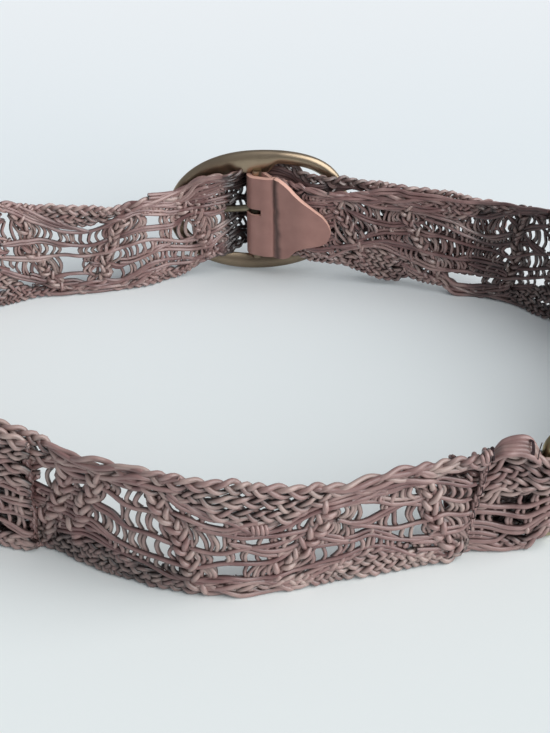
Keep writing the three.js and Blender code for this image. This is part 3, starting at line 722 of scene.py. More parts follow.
def cord_mesh(name, panel, cords, resolution, groove_shade, shaded_unworn=NO_STRETCH, shade_stretches=()):
    """A mesh of round cords, each bent into place by its panel.

    groove_shade says how dark the painted shade in the grooves between its cords is. shaded_unworn is a stretch
    tucked behind another, less rubbed and painted darker because it lies in shade. shade_stretches lists
    stretches, each with the share they reach up to and an amount, where the shown face is painted darker as
    shade, or lighter as painted light when the amount is negative. The cords dip at the cut ends, where they are
    sewn down.
    """
    curve = new_curve(name, 1.0, resolution)
    curve.use_fill_caps = True
    around = 4 + 2 * resolution
    middles, outs, lifts, thicks, tuck_shades, top_rim_light, shade_amounts = [], [], [], [], [], [], []
    for cord in cords:
        limit = panel.limit(cord["share"])
        reach = np.clip(cord["reach"], panel.start, limit - cord["radius"])
        dip = 1.3 * (ease((panel.start + 6 - reach) / 5) - ease((reach - limit + 6) / 5))
        lift = np.asarray(cord["lift"]) + dip
        points = panel.place(reach, cord["share"], lift)
        out = panel.place(reach, cord["share"], lift + 1.0) - points
        points[:, 2] = np.maximum(points[:, 2], cord["radius"] * MM)
        middles.append(points)
        outs.append(out / np.linalg.norm(out, axis=1, keepdims=True))
        lifts.append(lift)
        thicks.append(cord["radius"] + 0 * reach)
        # Painted shade: a stretch tucked behind another leg is made darker, because it lies in shade.
        below_rim = ease((0.93 - cord["share"]) / 0.08)
        tucked = ease((reach - shaded_unworn[0]) / 14) * ease((shaded_unworn[1] - reach) / 4) * below_rim
        tuck_shades.append(1 - 0.45 * tucked)
        top_rim_light.append(ease((cord["share"] - 0.88) / 0.06))
        # Painted shade: the listed stretches are made darker where the light misses them, and lighter as painted
        # light where the amount is negative.
        painted_shade = 0 * reach
        for start, stop, top, amount in shade_stretches:
            painted_shade = painted_shade + along_of([(start, stop, amount)], reach) * ease((top - cord["share"]) / 0.15)
        shade_amounts.append(painted_shade)
        add_line(curve, points).points.foreach_set("radius", np.full(len(points), cord["radius"] * MM))
    item = add_object(name, curve)
    select_only(item)
    bpy.ops.object.convert(target="MESH")
    mesh = item.data
    # The mesh holds two end caps for each cord first, with the last cord in front, and then the tubes.
    tubes_at = read_points(item)[2 * around * len(cords):]
    middle_at = np.repeat(np.concatenate(middles), around, axis=0)
    out_at = np.repeat(np.concatenate(outs), around, axis=0)
    size = np.repeat(np.concatenate(thicks), around) * MM
    outward = ((tubes_at - middle_at) * out_at).sum(1) / size
    # Painted highlight: facing up at the upper rim counts as lit from above.
    lit_upward = (tubes_at - middle_at)[:, 2] / size * np.repeat(np.concatenate(top_rim_light), around)
    # A vertex is rubbed pale where it faces outwards and where its cord stands out. The same number carries
    # painted shade low on the flanks and in the grooves between cords, and a painted highlight on the top side
    # of the upper rim, where light from above falls.
    stand = np.abs(np.repeat(np.concatenate(lifts), around) + 0.6 * outward) / 1.8
    wear_and_shade = 0.6 * np.maximum(np.abs(outward), lit_upward) + 0.4 * np.clip(np.maximum(stand, lit_upward), 0, 1)
    # Painted shade: the grooves between cords are made darker.
    wear_and_shade = (1 - groove_shade * (1 - wear_and_shade)) * np.repeat(np.concatenate(tuck_shades), around)
    wear_and_shade = wear_and_shade * (1 - np.repeat(np.concatenate(shade_amounts), around) * ease(0.8 + outward))
    wear_and_shade = np.concatenate([np.full(2 * around * len(cords), 0.3), wear_and_shade])
    tones = np.array([cord["tone"] for cord in cords])
    caps = np.repeat(tones[::-1], 2 * around)
    tubes = np.repeat(tones, [around * len(cord["reach"]) for cord in cords])
    mesh.attributes.new("tone", "FLOAT", "POINT").data.foreach_set("value", np.concatenate([caps, tubes]))
    mesh.attributes.new("wear_and_shade", "FLOAT", "POINT").data.foreach_set("value", wear_and_shade)
    bpy.ops.object.mode_set(mode="EDIT")
    bpy.ops.mesh.select_all(action="SELECT")
    bpy.ops.mesh.remove_doubles(threshold=1e-6)
    bpy.ops.object.mode_set(mode="OBJECT")
    bpy.ops.object.shade_smooth_by_angle(angle=math.radians(50))
    print(name, len(cords), "cords", 2 * len(mesh.polygons), "triangles")
    return item


# %% [markdown]
# ## Materials
# A material is a tree of nodes. One function adds a node with its settings, and another gives inputs their
# values or links. Colours are sRGB hex codes, as a colour picker shows them, and are turned to linear.

# %% Material helpers
SMOOTHLY = {"interpolation_type": "SMOOTHSTEP"}
TIMES = {"data_type": "RGBA", "blend_type": "MULTIPLY"}
TIMES_PLUS = {"operation": "MULTIPLY_ADD"}


def linear(code):
    """A colour from its sRGB hex code."""
    parts = [int(code[i:i + 2], 16) / 255 for i in (0, 2, 4)]
    return (*[p / 12.92 if p <= 0.04045 else ((p + 0.055) / 1.055) ** 2.4 for p in parts], 1.0)


def feed(tree, made, **inputs):
    """Gives a node's inputs their values, or links the sockets that feed them. i0 is the input numbered 0."""
    for name, value in inputs.items():
        number = name[0] == "i" and name[1:].isdigit()
        socket = made.inputs[int(name[1:])] if number else made.inputs[name.replace("_", " ")]
        if isinstance(value, bpy.types.NodeSocket):
            tree.links.new(value, socket)
        else:
            socket.default_value = value
    return made


def node(tree, kind, settings=None, stops=(), **inputs):
    """Adds a node with its settings, its colour stops if it is a ramp, and its inputs."""
    made = tree.nodes.new(kind)
    for name, value in (settings or {}).items():
        setattr(made, name, value)
    if stops:
        elements = made.color_ramp.elements
        elements[0].position, elements[1].position = stops[0][0], stops[-1][0]
        elements[0].color, elements[1].color = linear(stops[0][1]), linear(stops[-1][1])
        for place, code in stops[1:-1]:
            elements.new(place).color = linear(code)
    return feed(tree, made, **inputs)


def new_look(name):
    """A new material, its tree of nodes and its shader."""
    look = bpy.data.materials.new(name)
    look.use_nodes = True
    return look, look.node_tree, look.node_tree.nodes["Principled BSDF"]


# %% [markdown]
# The cord is round-cut leather, dyed mauve brown and waxed. Wax gives it a soft sheen and an even, fine grain.
# The dye is redder and deeper on some cords and greyer on others. Where the braid is handled the surface is
# rubbed pale. On top of that the colour carries painted shade in the grooves and on stretches out of the light,
# and a painted highlight on the top of the rim. This makes each cord stand out from the dark grooves beside it.

# %% Waxed round leather cord
DYE_PATCHES = 110.0  # per metre: the dye drifts over about 9 mm
CORD_GRAIN = 1500.0  # per metre: about 0.7 mm, coarser than real grain, so that it shows
cord_look, tree, shader = new_look("waxed_round_leather_cord")
place_now = node(tree, "ShaderNodeTexCoord").outputs["Object"]
tone = node(tree, "ShaderNodeAttribute", {"attribute_name": "tone"}).outputs["Fac"]
wear_and_shade = node(tree, "ShaderNodeAttribute", {"attribute_name": "wear_and_shade"}).outputs["Fac"]
patches = node(tree, "ShaderNodeTexNoise", Vector=place_now, Scale=DYE_PATCHES, Detail=2.0).outputs["Fac"]
grain = node(tree, "ShaderNodeTexNoise", Vector=place_now, Scale=CORD_GRAIN, Detail=3.0).outputs["Fac"]
mixed = node(tree, "ShaderNodeMath", TIMES_PLUS, i0=tone, i1=0.36, i2=patches).outputs[0]
dye = node(tree, "ShaderNodeValToRGB", stops=[(0.1, "664947"), (0.5, "826763"), (0.9, "96827b")], Fac=mixed)
# Painted shade and painted highlight together with real wear: low values darken the grooves and the shaded
# stretches, and high values lighten the rubbed, lit tops.
worn_and_shaded = node(tree, "ShaderNodeMapRange", SMOOTHLY, Value=wear_and_shade, From_Min=0.2, From_Max=0.95, To_Min=0.04,
            To_Max=1.38)
shade = node(tree, "ShaderNodeMix", TIMES, Factor=1.0, A=dye.outputs["Color"], B=worn_and_shaded.outputs["Result"])
bump = node(tree, "ShaderNodeBump", Strength=0.22, Distance=0.0002, Height=grain)
feed(tree, shader, Base_Color=shade.outputs["Result"], Roughness=0.32, Specular_IOR_Level=0.75,
     Normal=bump.outputs["Normal"])
print(cord_look.name, len(tree.nodes), "nodes")

# %% [markdown]
# Each panel has its own pattern. The open channel is a table of distance, lower share and upper share. The
# ribs are the distances at which they would meet the top and the bottom edge. Where a panel can be seen up
# close, its floats follow lines of distance and share, and its openings are boxes of distance and share that
# the bars keep out of. Elsewhere the floats are spread evenly and openings come by chance. Where the real
# edge swings, the outer rows are moved inward by some mm, and where its cords have worked loose the plait is
# opened up. Distances are in mm, and the shares of the height in these tables are per cent.

# %% Floats and openings of the seen stretches


def shares(rows, first=1):
    """Rows of a table whose numbers, from the given one on, are per cent and become shares of 1."""
    return [(*row[:first], *(number / 100 for number in row[first:])) for row in rows]


NEAR_FLOATS = [shares(line) for line in [
    [(32, 69), (38, 79), (46, 86), (59, 89), (68, 87), (78, 83), (84, 84), (93, 93), (101, 100)],
    [(45, 69), (53, 77), (64, 79), (72, 74), (76, 69), (82, 66), (89, 67), (96, 69), (100, 68), (106, 65),
     (112, 60), (119, 59), (124, 63), (132, 67)],
    [(50, 66), (58, 64), (63, 59), (70, 55), (76, 48), (83, 47), (90, 47), (94, 44), (98, 41), (106, 40),
     (112, 38), (117, 38), (124, 43), (133, 45), (140, 47), (149, 52), (155, 58), (160, 64), (164, 68)],
    [(38, 41), (44, 43), (51, 42), (60, 42), (67, 37), (77, 31), (86, 28), (94, 27), (100, 25), (108, 25),
     (117, 30), (126, 30), (133, 29), (138, 31), (142, 35), (149, 40), (158, 41), (168, 42), (174, 42),
     (178, 45), (185, 37), (192, 31), (200, 28), (206, 30), (211, 33)],
    [(32, 14), (43, 22), (53, 30), (62, 29), (70, 25), (80, 23), (89, 18), (96, 13), (102, 12), (110, 15),
     (120, 18), (128, 15), (136, 16), (142, 18), (149, 20), (158, 24), (166, 27), (172, 30), (178, 32),
     (185, 29), (192, 21), (198, 14), (206, 8), (213, 10)],
    [(95, 84), (100, 76), (106, 72), (112, 67), (119, 67), (124, 63), (130, 57), (138, 58), (144, 63),
     (150, 69), (155, 75), (161, 79), (168, 81), (174, 83), (180, 82), (187, 80), (193, 83)],
    [(106, 60), (112, 57), (119, 55), (124, 53), (132, 54), (137, 54), (144, 56), (150, 57), (155, 59)],
    [(120, 48), (126, 46), (133, 41), (140, 40), (147, 43), (150, 47), (156, 49), (164, 45), (170, 42)],
    [(169, 61), (175, 59), (180, 61), (184, 64), (188, 67), (196, 65), (202, 61)],
    [(164, 66), (170, 60), (179, 52), (186, 45), (192, 44), (198, 45), (202, 46), (208, 51), (212, 50),
     (218, 47), (222, 48)],
    [(170, 84), (176, 78), (182, 74), (188, 68), (196, 66), (202, 69), (208, 67), (214, 62), (219, 59),
     (222, 63)],
    [(170, 91), (176, 90), (184, 86), (190, 87), (196, 87), (203, 84), (210, 80), (216, 76), (220, 73),
     (223, 75)],
    [(204, 31), (211, 33), (216, 31), (220, 34), (222, 41)],
    [(138, 4), (149, 8), (158, 15), (163, 18), (170, 20)],
]]
NEAR_WINDOWS = shares([
    (64, 74, 62, 75), (62, 68, 48, 57), (74, 78, 72, 76), (80, 82, 70, 77), (84, 90, 69, 76),
    (79, 82, 53, 58), (84, 88, 51, 58), (88, 93, 48, 55), (76, 78, 38, 45), (81, 84, 37, 43),
    (84, 90, 32, 43), (91, 96, 32, 41), (104, 108, 65, 74), (110, 118, 61, 65), (102, 105, 45, 54),
    (107, 108, 33, 41), (112, 120, 33, 41), (120, 125, 33, 37), (126, 131, 32, 36), (132, 136, 32, 36),
    (114, 126, 20, 27), (126, 132, 48, 53), (133, 137, 48, 55), (140, 142, 50, 56), (150, 154, 61, 66),
    (156, 158, 61, 73), (161, 163, 66, 73), (150, 152, 48, 53), (154, 158, 28, 35), (174, 183, 61, 72),
    (171, 178, 48, 53), (178, 182, 53, 58), (188, 192, 36, 41), (193, 196, 33, 41), (197, 202, 32, 39),
    (190, 196, 49, 59), (196, 201, 47, 56), (205, 208, 71, 77), (210, 212, 69, 77), (40, 44, 64, 74),
    (46, 52, 70, 78), (44, 47, 31, 39), (48, 52, 34, 43), (52, 58, 23, 28), (192, 198, 20, 23),
], 2)
LEFT_FLOATS = [shares(line) for line in [
    [(176, 99), (182, 100), (191, 94), (198, 86), (204, 81), (212, 76), (220, 71)],
    [(176, 95), (183, 91), (190, 84), (198, 78), (205, 72), (215, 70), (222, 73), (228, 78), (232, 85),
     (236, 92), (240, 96), (246, 98), (251, 95), (259, 90), (268, 88), (276, 83), (283, 81), (292, 84),
     (298, 86)],
    [(174, 61), (182, 62), (188, 64), (195, 64), (202, 60), (210, 57), (217, 55), (222, 57), (227, 61),
     (232, 64), (238, 68), (245, 69), (253, 67), (262, 63), (268, 67), (274, 69), (280, 60), (288, 55),
     (298, 55)],
    [(173, 49), (181, 46), (192, 45), (199, 45), (206, 46), (214, 44), (219, 44), (224, 46), (230, 50),
     (237, 52), (245, 54), (252, 52), (261, 47), (270, 38), (278, 31), (284, 31), (292, 34), (300, 40)],
    [(172, 38), (180, 30), (188, 23), (196, 18), (204, 24), (211, 25), (218, 24), (224, 17), (230, 13),
     (234, 12), (242, 19), (250, 27), (258, 26), (269, 20), (277, 8), (284, 10), (290, 14), (296, 19),
     (300, 21)],
    [(188, 25), (196, 17), (203, 13), (213, 13), (220, 10), (228, 9), (236, 12), (244, 18), (252, 19)],
    [(234, 95), (240, 97), (248, 93), (256, 88), (264, 84), (272, 80), (280, 75), (288, 73), (298, 73)],
    [(234, 89), (243, 90), (250, 86), (259, 80), (266, 78), (272, 75), (280, 69), (288, 65), (296, 64)],
    [(246, 84), (254, 80), (262, 76), (268, 74), (272, 73)],
    [(250, 100), (259, 97), (268, 94), (276, 92), (284, 93), (292, 100), (300, 100)],
    [(262, 94), (270, 96), (276, 98), (281, 100), (290, 100), (300, 100)],
    [(266, 89), (276, 87), (283, 88), (292, 93), (300, 93)],
    [(250, 39), (258, 38), (266, 33), (274, 23), (282, 15), (287, 21), (294, 26), (300, 32)],
    [(234, 34), (239, 32), (246, 34), (251, 38), (256, 43), (262, 42)],
    [(280, 5), (286, 6), (291, 9), (296, 12), (299, 15)],
    [(242, 11), (250, 18), (258, 20), (266, 17), (274, 9), (280, 3)],
    [(219, 37), (224, 34), (229, 35), (234, 29), (239, 32)],
]]
LEFT_WINDOWS = shares([
    (174, 176, 67, 73), (177, 181, 66, 73), (180, 184, 61, 64), (192, 193, 70, 75), (194, 196, 66, 74),
    (197, 199, 65, 71), (200, 204, 65, 71), (178, 182, 48, 57), (184, 188, 50, 56), (204, 214, 49, 54),
    (204, 216, 27, 40), (204, 218, 17, 21), (216, 219, 58, 64), (220, 223, 61, 67), (224, 227, 63, 70),
    (228, 230, 66, 72), (232, 234, 68, 73), (219, 221, 45, 51), (222, 224, 47, 53), (226, 228, 49, 54),
    (180, 182, 34, 42), (183, 185, 29, 38), (188, 190, 28, 40), (192, 194, 29, 38), (228, 234, 14, 24),
    (248, 256, 71, 78), (248, 256, 54, 63), (238, 239, 48, 53), (240, 242, 48, 54), (244, 246, 47, 52),
    (194, 196, 50, 56), (198, 200, 52, 55), (296, 298, 64, 76), (302, 304, 66, 73), (302, 304, 52, 58),
    (272, 274, 59, 66), (268, 270, 43, 54), (404, 406, 54, 59), (407, 408, 54, 58), (410, 412, 55, 59),
    (406, 408, 43, 49), (410, 412, 45, 48), (412, 416, 45, 48), (414, 416, 51, 54), (419, 422, 38, 41),
    (382, 384, 62, 67), (374, 378, 56, 61), (368, 371, 30, 36), (380, 382, 20, 25), (398, 402, 3, 8),
    (391, 394, 0, 4), (412, 430, 5, 13), (370, 374, 70, 74), (388, 391, 53, 56), (396, 398, 70, 73),
], 2)
RIGHT_FLOATS = [shares(line) for line in [
    [(172, 100), (180, 99), (188, 98), (197, 100), (207, 100), (217, 100), (224, 100), (232, 100),
     (242, 100), (252, 100), (260, 100), (267, 97), (277, 97), (287, 100)],
    [(172, 94), (180, 94), (188, 94), (196, 90), (204, 85), (212, 86), (219, 89), (226, 90), (234, 91),
     (242, 92), (250, 94), (257, 94), (264, 89), (277, 91), (287, 93)],
    [(236, 75), (244, 70), (251, 65), (256, 64), (264, 65), (272, 72), (280, 82)],
    [(171, 87), (182, 82), (190, 73), (198, 68), (206, 66), (214, 71), (220, 77), (228, 81), (235, 84),
     (243, 84), (252, 83), (262, 83)],
    [(172, 62), (181, 67), (190, 63), (198, 58), (206, 59), (213, 64), (220, 69), (228, 75), (236, 79)],
    [(170, 60), (178, 58), (186, 51), (194, 47), (200, 51), (205, 54), (213, 55), (222, 59), (228, 62),
     (234, 60), (241, 61), (248, 58), (256, 56), (264, 49), (272, 35)],
    [(168, 49), (182, 40), (193, 35), (200, 38), (207, 40), (218, 39), (225, 41), (232, 42), (240, 45),
     (248, 47), (256, 47), (264, 41), (272, 34), (279, 26), (286, 26)],
    [(168, 41), (182, 31), (194, 25), (202, 24), (212, 27), (220, 27), (227, 25), (234, 26), (240, 29),
     (248, 33), (256, 39), (264, 37), (272, 29), (279, 18), (286, 8)],
    [(192, 29), (199, 30), (207, 32), (214, 37)],
    [(176, 28), (184, 22), (196, 15), (206, 14), (216, 11), (224, 10), (232, 15), (240, 20), (248, 25)],
    [(190, 18), (196, 12), (206, 6), (216, 5), (226, 8)],
    [(174, 60), (181, 66), (186, 75), (192, 85), (199, 94)],
    [(170, 76), (176, 85), (180, 96)],
    [(269, 50), (273, 62), (280, 74), (287, 82)],
]]
RIGHT_WINDOWS = shares([
    (182, 186, 81, 87), (172, 174, 89, 92), (178, 180, 81, 84), (180, 182, 75, 80), (174, 178, 72, 79),
    (186, 188, 67, 70), (180, 183, 57, 63), (170, 177, 61, 73), (178, 184, 46, 56), (172, 174, 49, 57),
    (169, 172, 50, 58), (187, 190, 37, 43), (182, 185, 39, 44), (183, 186, 45, 49), (186, 190, 29, 35),
    (180, 186, 32, 37), (176, 180, 37, 41), (173, 176, 39, 43), (169, 171, 41, 45), (186, 190, 22, 25),
    (182, 186, 25, 28), (178, 181, 29, 32), (194, 198, 21, 24), (230, 232, 64, 70), (226, 228, 64, 68),
    (222, 224, 65, 69), (228, 230, 54, 59), (223, 225, 55, 58), (220, 222, 55, 58), (218, 221, 60, 64),
    (214, 216, 48, 51), (252, 253, 74, 78), (257, 260, 68, 73), (264, 267, 41, 47), (252, 254, 32, 37),
    (234, 237, 15, 21), (242, 244, 13, 16), (205, 224, 16, 24), (260, 264, 82, 86), (244, 246, 64, 68),
    (238, 240, 81, 84),
], 2)
FLAP_FLOATS = [shares(line) for line in [
    [(30, 56), (42, 57), (52, 55), (60, 50)],
    [(30, 30), (44, 34), (56, 37), (66, 38)],
    [(30, 44), (40, 47), (50, 46)],
    [(196, 27), (204, 26), (214, 22)],
    [(199, 19), (212, 15)],
    [(-34, 56), (-24, 60), (-7, 58)],
    [(-34, 43), (-22, 46), (-7, 44)],
    [(-34, 28), (-20, 31), (-7, 30)],
    [(-34, 20), (-20, 19), (-7, 22)],
]]
LOOSE_FLOATS = [shares(line) for line in [
    [(300, 92), (316, 98), (334, 102), (352, 97), (364, 90)],
    [(304, 90), (320, 95), (340, 98), (360, 92)],
    [(308, 97), (322, 103), (336, 103), (350, 99)],
    [(300, 86), (318, 91), (338, 93), (356, 88)],
]]

# %% [markdown]
# A pattern is one dictionary for each panel, so that the same functions weave all four. Its words mean:
# - rows: plait rows in a corner at most; floats: cords side by side on a stretch without a table (plain)
# - bar_step: mm from bar to bar; left_out: how many are missing, on the stretch before seen
# - top_in and bottom_in: start, stop and mm inward; loose_top and loose_bottom: start, stop and how loose
# - shaded_unworn: a stretch tucked behind another, painted darker as shade; shade_stretches: start, stop, share
#   it reaches up to, and how much painted shade, or painted light where negative
# - knots: start, stop, share and turns; bundle: start, stop, share and number of cords

# %% Patterns of the four panels
NEAR = {
    "style": NEAR_STYLE, "rows": 5, "floats": 4, "bar_step": 2.6, "left_out": 0.16, "seen": 34,
    "channel": shares([
        (-60, 14, 56), (-36, 16, 60), (-31, 14, 66), (-16, 16, 66), (-2, 26, 62), (8, 42, 50), (26, 38, 50),
        (32, 14, 72), (43, 22, 78), (53, 28, 83), (62, 28, 83), (71, 25, 82), (80, 22, 79), (89, 17, 78),
        (98, 12, 76), (107, 13, 71), (124, 14, 60), (136, 15, 58), (147, 18, 68), (157, 22, 75),
        (168, 29, 84), (178, 31, 84), (185, 28, 83), (192, 26, 82), (200, 22, 82), (210, 19, 82),
        (218, 14, 82), (232, 12, 84),
    ]),
    "ribs": [(52, 33), (66, 46), (87, 110), (171, 134), (196, 217)],
    "traced": NEAR_FLOATS + FLAP_FLOATS, "windows": NEAR_WINDOWS, "plain": [(-60, -36), (-9, 36)],
    # Painted shade: the stretch from -15 to 31 mm, behind the folded end, and the low part from 30 to 110 mm are
    # made darker, because they lie in shade.
    "shaded_unworn": (-15, 31),
    "top_in": [], "bottom_in": [(212, 300, 3.0), (220, 300, 2.5)], "shade_stretches": [(30, 110, 0.32, 0.3)],
    "knots": [(129, 136, 0.61, 4.0), (224, 228, 0.97, 2.2)], "bundle": [],
    "loose_top": [(38, 92, 1.0), (160, 200, 0.8)], "loose_bottom": [(98, 150, 1.0)],
}
LEFT = {
    "style": FAR_STYLE, "rows": 6, "floats": 4, "bar_step": 2.3, "left_out": 0.2, "seen": 174,
    "channel": shares([
        (-56, 14, 56), (-20, 16, 60), (10, 24, 70), (30, 30, 80), (50, 35, 85), (70, 20, 60), (90, 12, 50),
        (110, 25, 70), (130, 40, 88), (148, 30, 80), (165, 34, 80), (176, 32, 92), (186, 21, 89),
        (193, 12, 82), (200, 7, 76), (208, 6, 72), (215, 6, 70), (222, 6, 73), (228, 7, 78), (233, 10, 86),
        (238, 14, 93), (246, 23, 96), (254, 26, 96), (262, 21, 95), (270, 11, 94), (278, 5, 96),
        (290, 5, 96), (320, 8, 90), (350, 20, 84), (381, 20, 80), (400, 15, 78), (420, 16, 75),
        (442, 20, 80),
    ]),
    "ribs": [(40, 30), (58, 76), (118, 98), (136, 152), (180, 203), (240, 219), (266, 286), (350, 340),
             (374, 388)],
    "top_in": [(270, 364, -3.2), (308, 352, -3.2)], "bottom_in": [(392, 480, 6.0)], "shaded_unworn": NO_STRETCH,
    # Painted shade on the strands beside and behind the tab, from 288 to 372 mm, and painted light from 240 to
    # 287 mm.
    "shade_stretches": [(288, 318, 1.3, 0.6), (240, 287, 1.3, -0.25), (306, 372, 1.3, 0.35)], "knots": [], "bundle": [],
    "traced": LEFT_FLOATS + LOOSE_FLOATS, "windows": LEFT_WINDOWS, "plain": [(-60, 178), (294, 460)],
    "loose_top": [(238, 300, 1.0)], "loose_bottom": [(203, 240, 1.0)],
}
RIGHT = {
    "style": FAR_STYLE, "rows": 6, "floats": 5, "bar_step": 2.3, "left_out": 0.15, "seen": 170,
    "channel": shares([
        (-56, 14, 56), (-20, 16, 60), (10, 24, 70), (30, 30, 80), (50, 35, 85), (70, 20, 60), (90, 12, 50),
        (110, 25, 75), (130, 40, 88), (150, 25, 78), (162, 34, 90), (172, 31, 95), (185, 23, 95),
        (196, 15, 94), (206, 9, 87), (214, 9, 76), (218, 10, 72), (226, 13, 77), (234, 18, 82),
        (242, 24, 86), (250, 35, 88), (258, 39, 89), (266, 36, 90), (276, 23, 92), (284, 12, 94),
        (295, 14, 90), (318, 20, 84),
    ]),
    "ribs": [(40, 30), (58, 78), (122, 100), (140, 162), (185, 195), (250, 224), (282, 266)],
    "top_in": [], "bottom_in": [(218, 252, 4.0)], "shaded_unworn": NO_STRETCH,
    # Painted shade: the inner face up to 216 mm, which the light misses, is made darker.
    "shade_stretches": [(-90, 216, 1.3, 0.36)], "knots": [], "bundle": [],
    "traced": RIGHT_FLOATS, "windows": RIGHT_WINDOWS, "plain": [(-60, 172), (282, 318)],
    "loose_top": [(225, 300, 1.0)], "loose_bottom": [(186, 226, 0.8)],
}
LOOP = {
    "style": LOOP_STYLE, "rows": 5, "floats": 4, "bar_step": 4.2, "left_out": 0.35, "seen": -1,
    "channel": shares([
        (-64, 50, 52), (-14, 50, 52), (-8, 40, 56), (-2, 22, 56), (2, 20, 56), (16, 19, 57), (26, 14, 56),
        (45, 20, 54),
    ]),
    "ribs": [], "plain": [(-60, -1)], "traced": [shares(line) for line in [
        [(-2, 50), (8, 47), (20, 45), (30, 50), (44, 52)],
        [(-2, 40), (6, 36), (16, 37), (27, 42), (44, 44)],
        [(-2, 30), (4, 29), (10, 24), (19, 25), (28, 31), (44, 34)],
        [(20, 15), (27, 20), (44, 22)],
    ]],
    "windows": shares([
        (1, 4, 44, 52), (7, 11, 49, 55), (13, 20, 48, 55), (5, 9, 39, 45), (13, 17, 39, 44), (3, 6, 31, 36),
        (9, 14, 28, 35), (17, 23, 28, 37), (22, 26, 18, 26), (22, 26, 46, 50),
    ], 2),
    "loose_top": [], "loose_bottom": [(16, 50, 1.0)],
    "top_in": [(20, 70, 6.0), (-80, -8, 6.0)], "bottom_in": [(4, 50, -1.2)],
    # Painted shade: the folded leg, behind the front one, is made darker.
    "shaded_unworn": (-75, -5), "shade_stretches": [],
    "knots": [(31, 34, 0.97, 1.8), (27, 29, 0.99, 1.4)], "bundle": [(5, 25, 0.99, 5)],
}
print("openings kept free", [len(look["windows"]) for look in (NEAR, LEFT, RIGHT, LOOP)])

# %% [markdown]
# The plaited rows and the open weave of a panel become two pieces, so that neither is too heavy to handle.

# %% The eight pieces of braid
PANELS = (  # name, route, solid, pattern, seed of its chances and how round its cords are
    ("near_braid", near, "back_panel", NEAR, 7, 2),
    ("left_braid", left, "left_side_panel", LEFT, 11, 1),
    ("right_braid", right, "right_side_panel", RIGHT, 23, 1),
    ("loop_braid", ring_loop, "right_ring_loop", LOOP, 31, 2),
)
for name, panel, replaced, look, seed, fineness in PANELS:
    rng = np.random.RandomState(seed)
    rows = edge_rows(panel, look, rng)
    rows += end_cords(panel, panel.start + 2.5, look, rng)
    rows += end_cords(panel, panel.end - 2, look, rng)
    lines, weave = floats_of(panel, look, rng)
    weave += bars_of(panel, look, lines, rng)
    weave += ribs_of(panel, look, rng)
    weave += extra_cords(panel, look, rng)
    # Painted shade in the grooves: full strength for the plaited rows, less for the open weave.
    for part, cords, groove_shade in (("rows", rows, 1.0), ("weave", weave, 0.8)):
        braid = cord_mesh(f"{name}_{part}", panel, cords, fineness, groove_shade, look["shaded_unworn"], look["shade_stretches"])
        braid.data.materials.append(cord_look)
        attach(braid, "root")
        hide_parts(replaced)

# %% [markdown]
# The folded ends are sewn down with dark waxed thread. It runs in a zigzag beside the end of the near run,
# whips over its upper edge, and ties the bundle of cord ends on the ring loop, where one tail stands up.

# %% Sewing thread
THREAD = 0.26  # radius in mm
TWIST = 700.0  # wave scale: a turn of the twist shows every 0.45 mm
thread_look, tree, shader = new_look("waxed_dark_sewing_thread")
place_now = node(tree, "ShaderNodeTexCoord").outputs["Object"]
twist = node(tree, "ShaderNodeTexWave", Vector=place_now, Scale=TWIST, Distortion=2.0).outputs["Fac"]
dye = node(tree, "ShaderNodeValToRGB", stops=[(0.2, "1d1012"), (0.8, "3a2024")], Fac=twist)
feed(tree, shader, Base_Color=dye.outputs["Color"], Roughness=0.45)


def whip(reach, share, along, around, size=0.045):
    """Thread wound over the upper edge of a panel, from its front to its back and round again."""
    turn = np.linspace(-0.2, 2 * math.pi * around, 18 * around)
    return single(reach + along * turn / turn[-1], share + size * np.cos(turn), 3.2 * np.sin(turn), 0, THREAD)


def zigzag(panel, reach, start, stop, lift):
    """Thread that crosses from side to side of a seam."""
    share = np.linspace(start, stop, 60)
    slant = panel.slant * (1 - share)
    sway = 0.35 * np.sin(share * 50)
    return single(reach - slant + sway, share, lift + 1.2 * np.cos(share * 60), 0, THREAD)


# The seam runs beside the near run's end, with two short whips over the upper edge.
near_threads = [zigzag(near, near.end - 1.6, 0.05, 0.99, 0.9)]
near_threads += [whip(near.end - 4 + 1.7 * k, 0.955, 0.8, 2) for k in range(2)]
# The tie goes three times round the bundle, 8.6 mm from the ring, and its tail stands up beside it.
loop_threads = [whip(8.6, 1.05, 1.2, 3, 0.07)]
tail_end = np.linspace(0, 1, 14)
loop_threads.append(single(7.0 - 0.8 * tail_end ** 2, 1.0 + 0.19 * tail_end, 3.2 + 0.4 * tail_end, 0, THREAD))
for name, panel, replaced, cords in (
    ("near_seam_thread", near, "back_panel", near_threads),
    ("loop_tie_thread", ring_loop, "right_ring_loop", loop_threads),
):
    thread = cord_mesh(name, panel, cords, 1, 0.5)
    thread.data.materials.append(thread_look)
    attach(thread, "root")
    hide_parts(replaced)

# %% [markdown]
# ## The buckle
# The buckle is cast brass with an aged finish. Its oval frame is domed: seen from behind, a narrow slope
# falls to the outer edge and a wide one to the opening, with a soft ridge between. A ring of this kind starts
# as a torus. Its section is then stretched, because the frame is narrowest at the sides, its upper right
# shoulder is full and the opening rises higher right of the bar, and no single scale of a torus gives that.
# The whole frame also hangs a little turned. Its upper half is brighter and its lower half duller.

